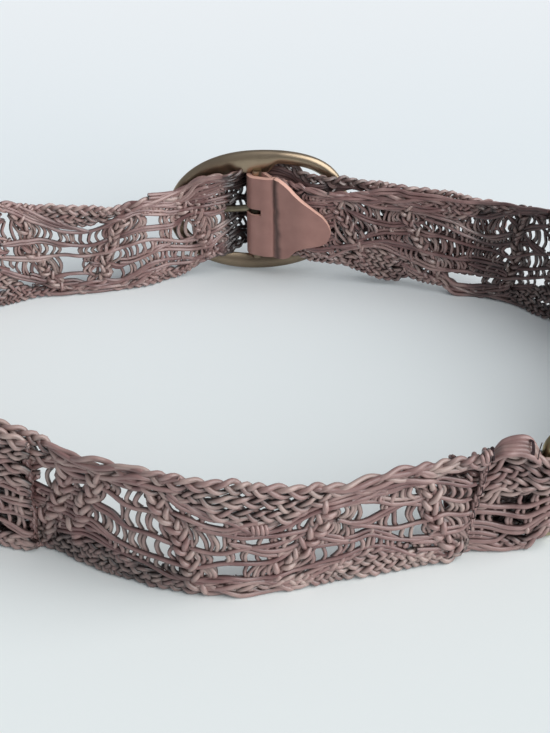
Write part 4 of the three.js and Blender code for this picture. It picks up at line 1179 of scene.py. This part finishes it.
# %% Oval frame
FRAME_HALF = (46.2, 35.0)  # half width and half height
OPENING_HALF = (39.0, 24.2)
FRAME_DEPTH = 5.0
FRAME_ASIDE = 1.0  # the frame hangs this much to the right of its solid
RIDGE = 0.62  # where the ridge lies, from the opening at 0 to the rim at 1
LOWER_HALF = 0.96  # height of the lower half beside the upper one's
OPENING_DROP = 0.8  # the opening lies a little low in the frame
OPENING_RISE = 4.2  # but rises this much more right of the bar
BAR_ROOT = 1.0  # and falls this much where the bar runs into the frame
FRAME_TURN = math.radians(2.5)
BAR_ZONE, BAR_FADE = 5, 6  # how far the bar's root reaches sideways, and over how much it fades
ROUNDNESS = 0.95  # 1 is an ellipse, and less is squarer
SHOULDER = 0.26  # how much squarer the upper right shoulder is


def write_points(item, points):
    """Moves the corners of a mesh to the given rows."""
    item.data.vertices.foreach_set("co", np.ascontiguousarray(points).ravel())
    item.data.update()


def finish_shape(item, angle=40):
    """Normals outwards and smooth shading below the given angle."""
    select_only(item)
    bpy.ops.object.transform_apply(location=True, rotation=True, scale=True)
    bpy.ops.object.mode_set(mode="EDIT")
    bpy.ops.mesh.select_all(action="SELECT")
    bpy.ops.mesh.normals_make_consistent(inside=False)
    bpy.ops.object.mode_set(mode="OBJECT")
    bpy.ops.object.shade_smooth_by_angle(angle=math.radians(angle))
    return item


bpy.ops.mesh.primitive_torus_add(major_segments=160, minor_segments=36, major_radius=1, minor_radius=0.25)
buckle = bpy.context.active_object
buckle.name = "buckle_frame_shape"
points = read_points(buckle)
angle = np.arctan2(points[:, 1], points[:, 0])
turn = np.arctan2(points[:, 2], np.hypot(points[:, 0], points[:, 1]) - 1)
share = 0.5 + 0.5 * np.cos(turn)
share = share ** (math.log(RIDGE) / math.log(0.5))
swell = np.sign(np.sin(turn)) * np.abs(np.sin(turn)) ** 0.9
corner = np.clip(np.cos(angle), 0, 1) * np.clip(np.sin(angle), 0, 1)
bulge = ROUNDNESS - SHOULDER * corner
full = np.stack([np.sign(np.cos(angle)) * np.abs(np.cos(angle)) ** bulge,
                 np.sign(np.sin(angle)) * np.abs(np.sin(angle)) ** bulge], -1)
inner = full * OPENING_HALF - (0, OPENING_DROP)
root = BAR_ROOT * (1 - ease((np.abs(inner[:, 0]) - BAR_ZONE) / BAR_FADE))
rise = OPENING_RISE * ease((inner[:, 0] - BAR_ZONE) / BAR_FADE)
inner[:, 1] += np.clip(full[:, 1] * 3, 0, 1) * (rise - root)
outer = full * FRAME_HALF
outer[:, 1] = np.where(outer[:, 1] < 0, outer[:, 1] * LOWER_HALF, outer[:, 1])
oval = inner + (outer - inner) * share[:, None]
cosine, sine = math.cos(FRAME_TURN), math.sin(FRAME_TURN)
oval = oval @ np.array([[cosine, sine], [-sine, cosine]])
shaped = np.stack([
    oval[:, 0] + BUCKLE[0] + FRAME_ASIDE,
    BUCKLE[1] - FRAME_DEPTH / 2 * swell,
    oval[:, 1] + BUCKLE[2],
], -1)
write_points(buckle, shaped * MM + shift)
print("frame in mm", np.ptp(shaped, axis=0).round(1))

# %% [markdown]
# The centre bar is a plain cylinder that runs into the frame above and below. A boolean joins the two, so the
# bar meets the frame in a clean line.

# %% Centre bar
BAR_RADIUS = 2.5
BAR_SET = -1.0  # the bar stands this much in front of the frame's middle
BAR_REACH = OPENING_HALF[1] + 1.2
bar_place = Vector((BUCKLE[0], BUCKLE[1] + BAR_SET, BUCKLE[2] - OPENING_DROP)) * MM + Vector(shift)
bpy.ops.mesh.primitive_cylinder_add(vertices=32, radius=BAR_RADIUS * MM, depth=2 * BAR_REACH * MM,
                                    location=bar_place)
centre_bar = bpy.context.active_object
finish_shape(centre_bar)
finish_shape(buckle)
join = buckle.modifiers.new("join", "BOOLEAN")
join.operation = "UNION"
join.object = centre_bar
select_only(buckle)
bpy.ops.object.modifier_apply(modifier="join")
bpy.data.objects.remove(centre_bar)
finish_shape(buckle)
print("frame and bar", len(buckle.data.polygons), "faces")

# %% [markdown]
# The prong is a brass rod, flattened a little and tapered to a blunt tip that rests on the frame. A circle is
# extruded from station to station and resized at each. Its eye is a short tube round the bar.

# %% Prong
PRONG_Z = 37.6
EYE_INNER = BAR_RADIUS + 0.3
EYE_OUTER = EYE_INNER + 1.3
EYE_WIDE = 3.8
PRONG_STATIONS = [  # x and y from the bar's middle, fall, upright width and thickness in mm
    (-3.2, 0.0, 0.0, 3.8, 2.5), (-10, 0.7, 0.9, 3.7, 2.8), (-20, 2.0, 2.2, 3.5, 2.8), (-30, 3.3, 3.5, 3.4, 2.8),
    (-36, 4.6, 4.3, 3.3, 2.6), (-40, 5.2, 4.8, 3.0, 2.4), (-43, 5.2, 5.1, 2.2, 1.8), (-44, 5.1, 5.1, 1.0, 1.0),
]
bpy.ops.mesh.primitive_circle_add(vertices=24, radius=1, fill_type="NGON", rotation=(0, math.radians(90), 0))
prong = bpy.context.active_object
prong.name = "prong_shape"
bpy.ops.object.transform_apply(location=False, rotation=True, scale=False)
bpy.ops.object.mode_set(mode="EDIT")
bpy.ops.mesh.select_all(action="SELECT")
x, y, fall, tall, thick = PRONG_STATIONS[0]
bpy.ops.transform.resize(value=(1, thick / 2, tall / 2))
bpy.ops.transform.translate(value=(x, y, -fall))
for before, after in zip(PRONG_STATIONS, PRONG_STATIONS[1:]):
    bpy.ops.mesh.extrude_region_move()
    bpy.ops.transform.translate(value=(after[0] - before[0], after[1] - before[1], before[2] - after[2]))
    bpy.ops.transform.resize(value=(1, after[4] / before[4], after[3] / before[3]))
bpy.ops.object.mode_set(mode="OBJECT")
eye_parts = []
for radius, depth in ((EYE_OUTER, EYE_WIDE), (EYE_INNER, EYE_WIDE + 2.2)):
    bpy.ops.mesh.primitive_cylinder_add(vertices=40, radius=radius, depth=depth)
    eye_parts.append(bpy.context.active_object)
for part, operation in ((eye_parts[0], "UNION"), (eye_parts[1], "DIFFERENCE")):
    work = prong.modifiers.new("eye", "BOOLEAN")
    work.operation = operation
    work.object = part
    select_only(prong)
    bpy.ops.object.modifier_apply(modifier="eye")
    bpy.data.objects.remove(part)
prong_start = Vector((BUCKLE[0], BUCKLE[1] + BAR_SET, PRONG_Z))
write_points(prong, (read_points(prong) + np.array(prong_start)) * MM + shift)
finish_shape(prong, 45)
print("prong", [round(v / MM, 1) for v in prong.dimensions])

# %% [markdown]
# The two side rings are brass wire bent to an upright rounded rectangle. A closed spline with a round bevel
# is the natural form of bent wire.

# %% Side rings
RING_WIRE = 2.9  # radius of the wire
RING_WIDTH = 45.0  # from middle to middle of the wire
RING_HEIGHT = 48.6
RING_CORNER = 5.0
RING_Z = 27.5  # height of the ring's middle


def side_ring(name, bar_a, bar_b):
    """A ring whose upright sides stand where two panels turn."""
    way = (bar_b - bar_a) / np.linalg.norm(bar_b - bar_a)
    middle = bar_a + way * RING_WIDTH / 2
    curve = new_curve(name, RING_WIRE * MM, 5)
    line = []
    for number, (sx, sz) in enumerate(((1, 1), (-1, 1), (-1, -1), (1, -1))):
        for step in range(10):
            angle = math.radians(90 * number + 90 * step / 9)
            across = sx * (RING_WIDTH / 2 - RING_CORNER) + math.cos(angle) * RING_CORNER
            up = sz * (RING_HEIGHT / 2 - RING_CORNER) + math.sin(angle) * RING_CORNER
            line.append([*(middle + way * across), RING_Z + up])
    add_line(curve, np.array(line) * MM + shift).use_cyclic_u = True
    ring = add_object(name, curve)
    select_only(ring)
    bpy.ops.object.convert(target="MESH")
    finish_shape(ring)
    print(name, [round(v / MM, 1) for v in ring.dimensions])
    return ring


ring_right = side_ring("ring_right_shape", ring_loop.bar, right.bar)
ring_left = side_ring("ring_left_shape", near.bar, left.bar)

# %% [markdown]
# ## The leather tab
# One strip of leather goes round the bar. It is pinched together behind the bar, which leaves a dark crease,
# and its two leaves taper over the strap's end. The prong comes through a short slot in the fold. First come
# the strip's sizes and the line that it follows.

# %% Sizes of the tab
LEATHER = 1.6  # thickness of the tab's solid
OVER = 1.0  # how much thicker the leather is, as its pale edge shows
TAB_FOLD = BAR_RADIUS + 0.3 + LEATHER / 2  # radius of the leather's middle round the bar
TAB_PINCH = BRAID / 2 + 0.75 + LEATHER / 2  # and its distance from the strap's middle
OUTER_LEAF = 19.0  # length of the hidden leaf
SLOT_HALF = 1.7
SLOT_REACH = 3.7  # how far the slot runs on beyond the fold
CREASE = 10.6  # distance of the crease from the bar
TAB_OUTLINE = np.array([  # distance from the bar, lower edge, upper edge in mm
    (0, 12.4, 57.2), (7, 12.8, 57.9), (10, 13.0, 58.2), (12, 12.9, 58.2), (14, 12.8, 57.8), (17, 13.4, 56.2),
    (20, 15.0, 54.0), (22, 17.6, 52.2), (24, 20.0, 50.5), (27, 22.2, 47.7), (30, 23.2, 45.1), (33, 24.0, 42.7),
    (35, 24.7, 41.0), (37.2, 26.2, 38.0), (38.6, 28.6, 35.2), (39.3, 31.2, 32.6),
])
TAB_TURN = math.pi * TAB_FOLD
tab_bar = np.array([BUCKLE[0], BUCKLE[1] + BAR_SET])
strap_end = right.spot(right.end, 0.5)[0]


# %% The way of the leather


def tab_outline(out):
    """Lower and upper edge of the tab at a distance from the bar."""
    return [np.interp(out, TAB_OUTLINE[:, 0], TAB_OUTLINE[:, column]) for column in (1, 2)]


def tab_middle(out):
    """Line between the two leaves: it leaves the bar's centre and settles on the strap's middle."""
    reach = right.end - (out - (strap_end - tab_bar[0]))
    here = right.spot(np.minimum(reach, right.end), 0.5)[..., :2]
    last = right.spot(right.end, 0.5)[:2] - right.spot(right.end - 2, 0.5)[:2]
    last = last / np.linalg.norm(last)
    here = here + np.maximum(reach - right.end, 0)[..., None] * last
    start_reach = right.end + strap_end - tab_bar[0]
    start = right.spot(right.end, 0.5)[:2] + (start_reach - right.end) * last
    return here + (tab_bar - start) * (1 - ease(np.asarray(out) / 9))[..., None]


def tab_spot(along, share):
    """Place of the leather's middle.

    along is 0 where the shown leaf leaves the bar, and less than 0 round the fold and on the hidden leaf.
    """
    out = np.where(along >= 0, along, np.maximum(-TAB_TURN - along, 0))
    low, high = tab_outline(out)
    high = high - 5 * ease(out / 9) * (along < 0)
    ahead = tab_middle(out + 0.25) - tab_middle(np.maximum(out - 0.25, 0))
    ahead /= np.linalg.norm(ahead, axis=-1, keepdims=True)
    side = np.stack([ahead[..., 1], -ahead[..., 0]], -1)
    lift = TAB_FOLD + (TAB_PINCH - TAB_FOLD) * ease(out / 9)
    lift = lift - 0.9 * np.exp(-((along - CREASE) / 1.0) ** 2) + 0.5 * np.exp(-((along - 5.5) / 3) ** 2)
    angle = np.clip(-along, 0, TAB_TURN) / TAB_FOLD
    outwards = side * np.cos(angle)[..., None] - ahead * np.sin(angle)[..., None]
    plan = tab_middle(out) + outwards * lift[..., None]
    return np.concatenate([plan, (low + (high - low) * share)[..., None]], -1)


# %% [markdown]
# A flat grid is the strip, with a row and a column at each edge of the slot. The slot's faces are deleted, and
# each corner is moved to its place round the bar.

# %% Strip with its slot
low, high = tab_outline(0)
slot = [(PRONG_Z + step - low) / (high - low) for step in (-SLOT_HALF, SLOT_HALF)]
heights = np.sort(np.concatenate([np.linspace(0, 1, 25), slot]))
alongs = np.unique(np.round(np.concatenate([
    np.linspace(-TAB_TURN - OUTER_LEAF, -TAB_TURN, 20), np.linspace(-TAB_TURN, 0, 21),
    [-TAB_TURN - SLOT_REACH, SLOT_REACH], np.linspace(8.4, 12.8, 12), TAB_OUTLINE[:, 0],
    np.linspace(0, TAB_OUTLINE[-1, 0], 41),
]), 4))
bpy.ops.mesh.primitive_grid_add(x_subdivisions=len(alongs) - 1, y_subdivisions=len(heights) - 1, size=2)
tab = bpy.context.active_object
tab.name = "leather_tab_shape"


def grid_places():
    """Column and row of each corner of the flat grid, which is 2 m wide."""
    flat = read_points(tab)
    return [np.rint((flat[:, axis] + 1) / 2 * (count - 1)).astype(int)
            for axis, count in enumerate((len(alongs), len(heights)))]


column, row = grid_places()
slot_rows = [i for i in range(len(heights) - 1) if slot[0] - 1e-6 < heights[i] < slot[1] - 1e-6]
bpy.context.tool_settings.mesh_select_mode = (False, False, True)
bpy.ops.object.mode_set(mode="EDIT")
bpy.ops.mesh.select_all(action="DESELECT")
bpy.ops.object.mode_set(mode="OBJECT")
for face in tab.data.polygons:
    corners = [(column[v], row[v]) for v in face.vertices]
    left_along = alongs[min(c for c, r in corners)]
    right_along = alongs[max(c for c, r in corners)]
    in_reach = left_along > -TAB_TURN - SLOT_REACH - 1e-3 and right_along < SLOT_REACH + 1e-3
    face.select = bool(in_reach and min(r for c, r in corners) in slot_rows)
bpy.ops.object.mode_set(mode="EDIT")
bpy.ops.mesh.delete(type="FACE")
bpy.ops.object.mode_set(mode="OBJECT")
column, row = grid_places()
write_points(tab, tab_spot(alongs[column], heights[row]) * MM + shift)

# %% [markdown]
# A solidify modifier gives the leather its thickness, mostly outwards, and a small bevel rubs its edges round.
# The rim gets a material of its own, because a cut edge shows the raw, paler core.

# %% Thickness of the leather
tab.data.materials.append(None)
tab.data.materials.append(None)
thick = tab.modifiers.new("leather", "SOLIDIFY")
thick.thickness = (LEATHER + OVER) * MM
thick.offset = (LEATHER + OVER + 0.5) / (LEATHER + OVER) - 1
thick.use_even_offset = True
thick.material_offset_rim = 1
soft = tab.modifiers.new("rubbed edge", "BEVEL")
soft.width = 0.22 * MM
soft.segments = 2
soft.limit_method = "ANGLE"
soft.angle_limit = math.radians(50)
select_only(tab)
for work in ("leather", "rubbed edge"):
    bpy.ops.object.modifier_apply(modifier=work)
finish_shape(tab, 45)
print("tab", [round(v / MM, 1) for v in tab.dimensions], len(tab.data.polygons), "faces")

# %% [markdown]
# ## Finishes of the buckle
# The frame is cast brass. The skin of a casting is a little uneven, and its colour is a warm grey gold that
# grows brighter upwards. Its roughness lies between polished and satin.

# %% Aged brass
PATINA_CLOUDS = 60.0  # per metre: clouds of about 17 mm
CAST_GRAIN = 900.0  # per metre: about 1 mm, coarser than the real skin, so that it shows
brass_look, tree, shader = new_look("cast_brass_aged_brighter_upwards")
place_now = node(tree, "ShaderNodeTexCoord").outputs["Object"]
cloud = node(tree, "ShaderNodeTexNoise", Vector=place_now, Scale=PATINA_CLOUDS, Detail=4.0).outputs["Fac"]
fine = node(tree, "ShaderNodeTexNoise", Vector=place_now, Scale=CAST_GRAIN, Detail=3.0).outputs["Fac"]
upright = node(tree, "ShaderNodeSeparateXYZ", Vector=place_now).outputs["Z"]
cloudy = node(tree, "ShaderNodeMath", {"operation": "MULTIPLY"}, i0=cloud, i1=0.6).outputs[0]
# Lighter towards the top: the colour grows brighter with height.
brighter_upwards = node(tree, "ShaderNodeMath", TIMES_PLUS, i0=upright, i1=6.0, i2=cloudy).outputs[0]
patina = node(tree, "ShaderNodeValToRGB", stops=[(0.28, "7d6f5e"), (0.66, "a4937d"), (1.0, "b9a78e")],
              Fac=brighter_upwards)
bump = node(tree, "ShaderNodeBump", Strength=0.08, Distance=0.0001, Height=fine)
feed(tree, shader, Base_Color=patina.outputs["Color"], Metallic=1.0, Roughness=0.36,
     Normal=bump.outputs["Normal"])
print(brass_look.name, len(tree.nodes), "nodes")

# %% [markdown]
# The rings are drawn brass wire, smoother than a casting and a little greener. One of them shows for a few
# millimetres only, so a plain metal is enough.

# %% Brighter brass of the rings
ring_look, tree, shader = new_look("drawn_brass_wire_polished")
feed(tree, shader, Base_Color=linear("9c9070"), Metallic=1.0, Roughness=0.3)
print(ring_look.name, len(tree.nodes), "nodes")

# %% [markdown]
# The prong is a brass rod too. Where it goes through the slot, dirt from the leather gathers and the fold of the
# tab shades it, so that stretch is darkened nearly black, partly real dirt and partly painted shade. A gradient
# along the belt darkens it there.

# %% Dark brass of the prong
GRIME_CLOUDS = 220.0  # per metre: clouds of about 5 mm
prong_look, tree, shader = new_look("brass_rod_darkened_in_its_slot")
place_now = node(tree, "ShaderNodeTexCoord").outputs["Object"]
cloud = node(tree, "ShaderNodeTexNoise", Vector=place_now, Scale=GRIME_CLOUDS, Detail=3.0).outputs["Fac"]
east = node(tree, "ShaderNodeSeparateXYZ", Vector=place_now).outputs["X"]
slot_starts = (BUCKLE[0] - TAB_FOLD) * MM + float(shift[0])
# Painted shade with dirt: the stretch inside the slot, in the fold's shade, is made nearly black.
grime_and_shade = node(tree, "ShaderNodeMapRange", SMOOTHLY, Value=east, From_Min=slot_starts - 0.0015,
             From_Max=slot_starts + 0.0005, To_Min=1.0, To_Max=0.1)
dull = node(tree, "ShaderNodeValToRGB", stops=[(0.3, "6e6654"), (0.7, "9a917c")], Fac=cloud)
shade = node(tree, "ShaderNodeMix", TIMES, Factor=1.0, A=dull.outputs["Color"], B=grime_and_shade.outputs["Result"])
feed(tree, shader, Base_Color=shade.outputs["Result"], Metallic=1.0, Roughness=0.4)
print(prong_look.name, len(tree.nodes), "nodes")

# %% [markdown]
# The tab is smooth leather with dye and wax on its grain side, so it is half matt with fine pores. Where it is
# pinched behind the bar it has a crease, which leans and wanders a little. Its dip alone would be too shallow to
# show, so the shade in the crease is painted into the colour there. The cut edge shows the raw core, pale and
# matt.

# %% Tab leather and its cut edge
TAB_CLOUDS = 120.0  # per metre: clouds of about 8 mm
TAB_PORES = 1800.0  # per metre: about 0.6 mm, coarser than real pores, so that they show
CREASE_WANDER = 0.0026  # metres, times the clouds
CREASE_LEAN = 0.036  # metres for each metre upwards
CREASE_SHIFT = 0.0034  # takes back what the wander and the lean add at half height
CREASE_HALF = 0.0027  # metres from its middle to full colour
tab_look, tree, shader = new_look("smooth_leather_dyed_mauve_brown")
place_now = node(tree, "ShaderNodeTexCoord").outputs["Object"]
cloud = node(tree, "ShaderNodeTexNoise", Vector=place_now, Scale=TAB_CLOUDS, Detail=3.0).outputs["Fac"]
pores = node(tree, "ShaderNodeTexVoronoi", Vector=place_now, Scale=TAB_PORES).outputs["Distance"]
dye = node(tree, "ShaderNodeValToRGB", stops=[(0.3, "9b7168"), (0.7, "a87d73")], Fac=cloud)
sides = node(tree, "ShaderNodeSeparateXYZ", Vector=place_now)
crease_at = float(tab_spot(np.array([CREASE]), np.array([0.5]))[0, 0]) * MM + float(shift[0])
wander = node(tree, "ShaderNodeMath", TIMES_PLUS, i0=cloud, i1=CREASE_WANDER, i2=sides.outputs["X"]).outputs[0]
leaning = node(tree, "ShaderNodeMath", TIMES_PLUS, i0=sides.outputs["Z"], i1=CREASE_LEAN, i2=wander).outputs[0]
crease_at = crease_at + CREASE_SHIFT
off = node(tree, "ShaderNodeMath", {"operation": "SUBTRACT"}, i0=leaning, i1=crease_at).outputs[0]
off = node(tree, "ShaderNodeMath", {"operation": "ABSOLUTE"}, i0=off).outputs[0]
# Painted shade: the colour is darkened along the crease, where shade falls.
painted_crease_shade = node(tree, "ShaderNodeMapRange", SMOOTHLY, Value=off, From_Max=CREASE_HALF, To_Min=0.26)
shade = node(tree, "ShaderNodeMix", TIMES, Factor=1.0, A=dye.outputs["Color"], B=painted_crease_shade.outputs["Result"])
bump = node(tree, "ShaderNodeBump", Strength=0.2, Distance=0.0001, Height=pores)
feed(tree, shader, Base_Color=shade.outputs["Result"], Roughness=0.5, Normal=bump.outputs["Normal"])
print(tab_look.name, len(tree.nodes), "nodes")
edge_look, tree, shader = new_look("raw_leather_cut_edge")
feed(tree, shader, Base_Color=linear("d3a797"), Roughness=0.8)

# %% [markdown]
# Each finished piece stands for one solid of the CAD model. The part has a single body, so all of them ride on
# it.

# %% Fit the pieces to the frame
tab.data.materials[0] = tab_look
tab.data.materials[1] = edge_look
for item, replaced, look, slot_name in (
    (buckle, "buckle_frame", brass_look, "antique_brass"), (prong, "prong", prong_look, "antique_brass"),
    (ring_right, "ring_right", ring_look, "ring_brass"), (ring_left, "ring_left", ring_look, "ring_brass"),
    (tab, "leather_tab", None, "tab_leather"),
):
    if look:
        item.data.materials.clear()
        item.data.materials.append(look)
    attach(item, "root")
    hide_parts(replaced)

# %% [markdown]
# The camera looks down at the belt at 35 degrees, from where the photograph was taken.

# %% Camera at the photograph's angle
PHOTO_HEIGHT = 733  # pixels
LENS_PIXELS = 1850  # focal length in pixels of the photograph
SENSOR = 36  # mm
CAMERA_PLACE = (0, -0.6925, 0.511)  # metres
CAMERA_TILT = 55.09  # degrees up from straight down
camera_data = bpy.data.cameras.new("camera")
camera_data.lens = LENS_PIXELS / PHOTO_HEIGHT * SENSOR
camera_data.sensor_width = SENSOR
camera = add_object("camera", camera_data)
camera.location = Vector(CAMERA_PLACE) + Vector(shift)
camera.rotation_euler = (math.radians(CAMERA_TILT), 0, 0)
bpy.context.scene.camera = camera
print("lens in mm", round(camera_data.lens, 1), "camera", [round(v, 3) for v in camera.location])

# %% [markdown]
# The photograph was taken by a large window on the right, towards the camera. It lights the near run from the
# middle to the right and the inside of the far left, and leaves the far right dark. A sun with a wide angle
# gives this soft, directed light, and an even sky fills the shadows.

# %% Floor and light
SKY_STRENGTH = 0.31
SUN_STRENGTH = 3.75
SUN_SPREAD = 80  # degrees: as wide as a large window looks from close by
bpy.context.scene.view_settings.view_transform = "Standard"
bpy.ops.object.select_all(action="DESELECT")
bpy.ops.mesh.primitive_plane_add(size=40)
floor = bpy.context.active_object
floor.name = "floor"
floor_look, tree, shader = new_look("floor_paper")
place_now = node(tree, "ShaderNodeTexCoord").outputs["Object"]
away = node(tree, "ShaderNodeSeparateXYZ", Vector=place_now).outputs["Y"]
# Painted light: the floor paper is made lighter further back, where the backdrop is lit more.
further = node(tree, "ShaderNodeMath", TIMES_PLUS, i0=away, i1=0.8, i2=0.3).outputs[0]
paper = node(tree, "ShaderNodeValToRGB", stops=[(0.2, "ebf1f0"), (0.5, "ecf3f5"), (0.9, "ffffff")], Fac=further)
feed(tree, shader, Base_Color=paper.outputs["Color"], Roughness=0.7)
floor.data.materials.append(floor_look)

world = bpy.data.worlds.new("world")
bpy.context.scene.world = world
world.use_nodes = True
feed(world.node_tree, world.node_tree.nodes["Background"], Color=linear("f1f6ff"), Strength=SKY_STRENGTH)
light_data = bpy.data.lights.new("window", "SUN")
light_data.energy = SUN_STRENGTH
light_data.angle = math.radians(SUN_SPREAD)
light = add_object("window", light_data)
light.rotation_euler = Vector((-0.77, 0.33, -0.55)).to_track_quat("-Z", "Y").to_euler()
print("sky", SKY_STRENGTH, "sun", SUN_STRENGTH, "spread over", SUN_SPREAD, "degrees")
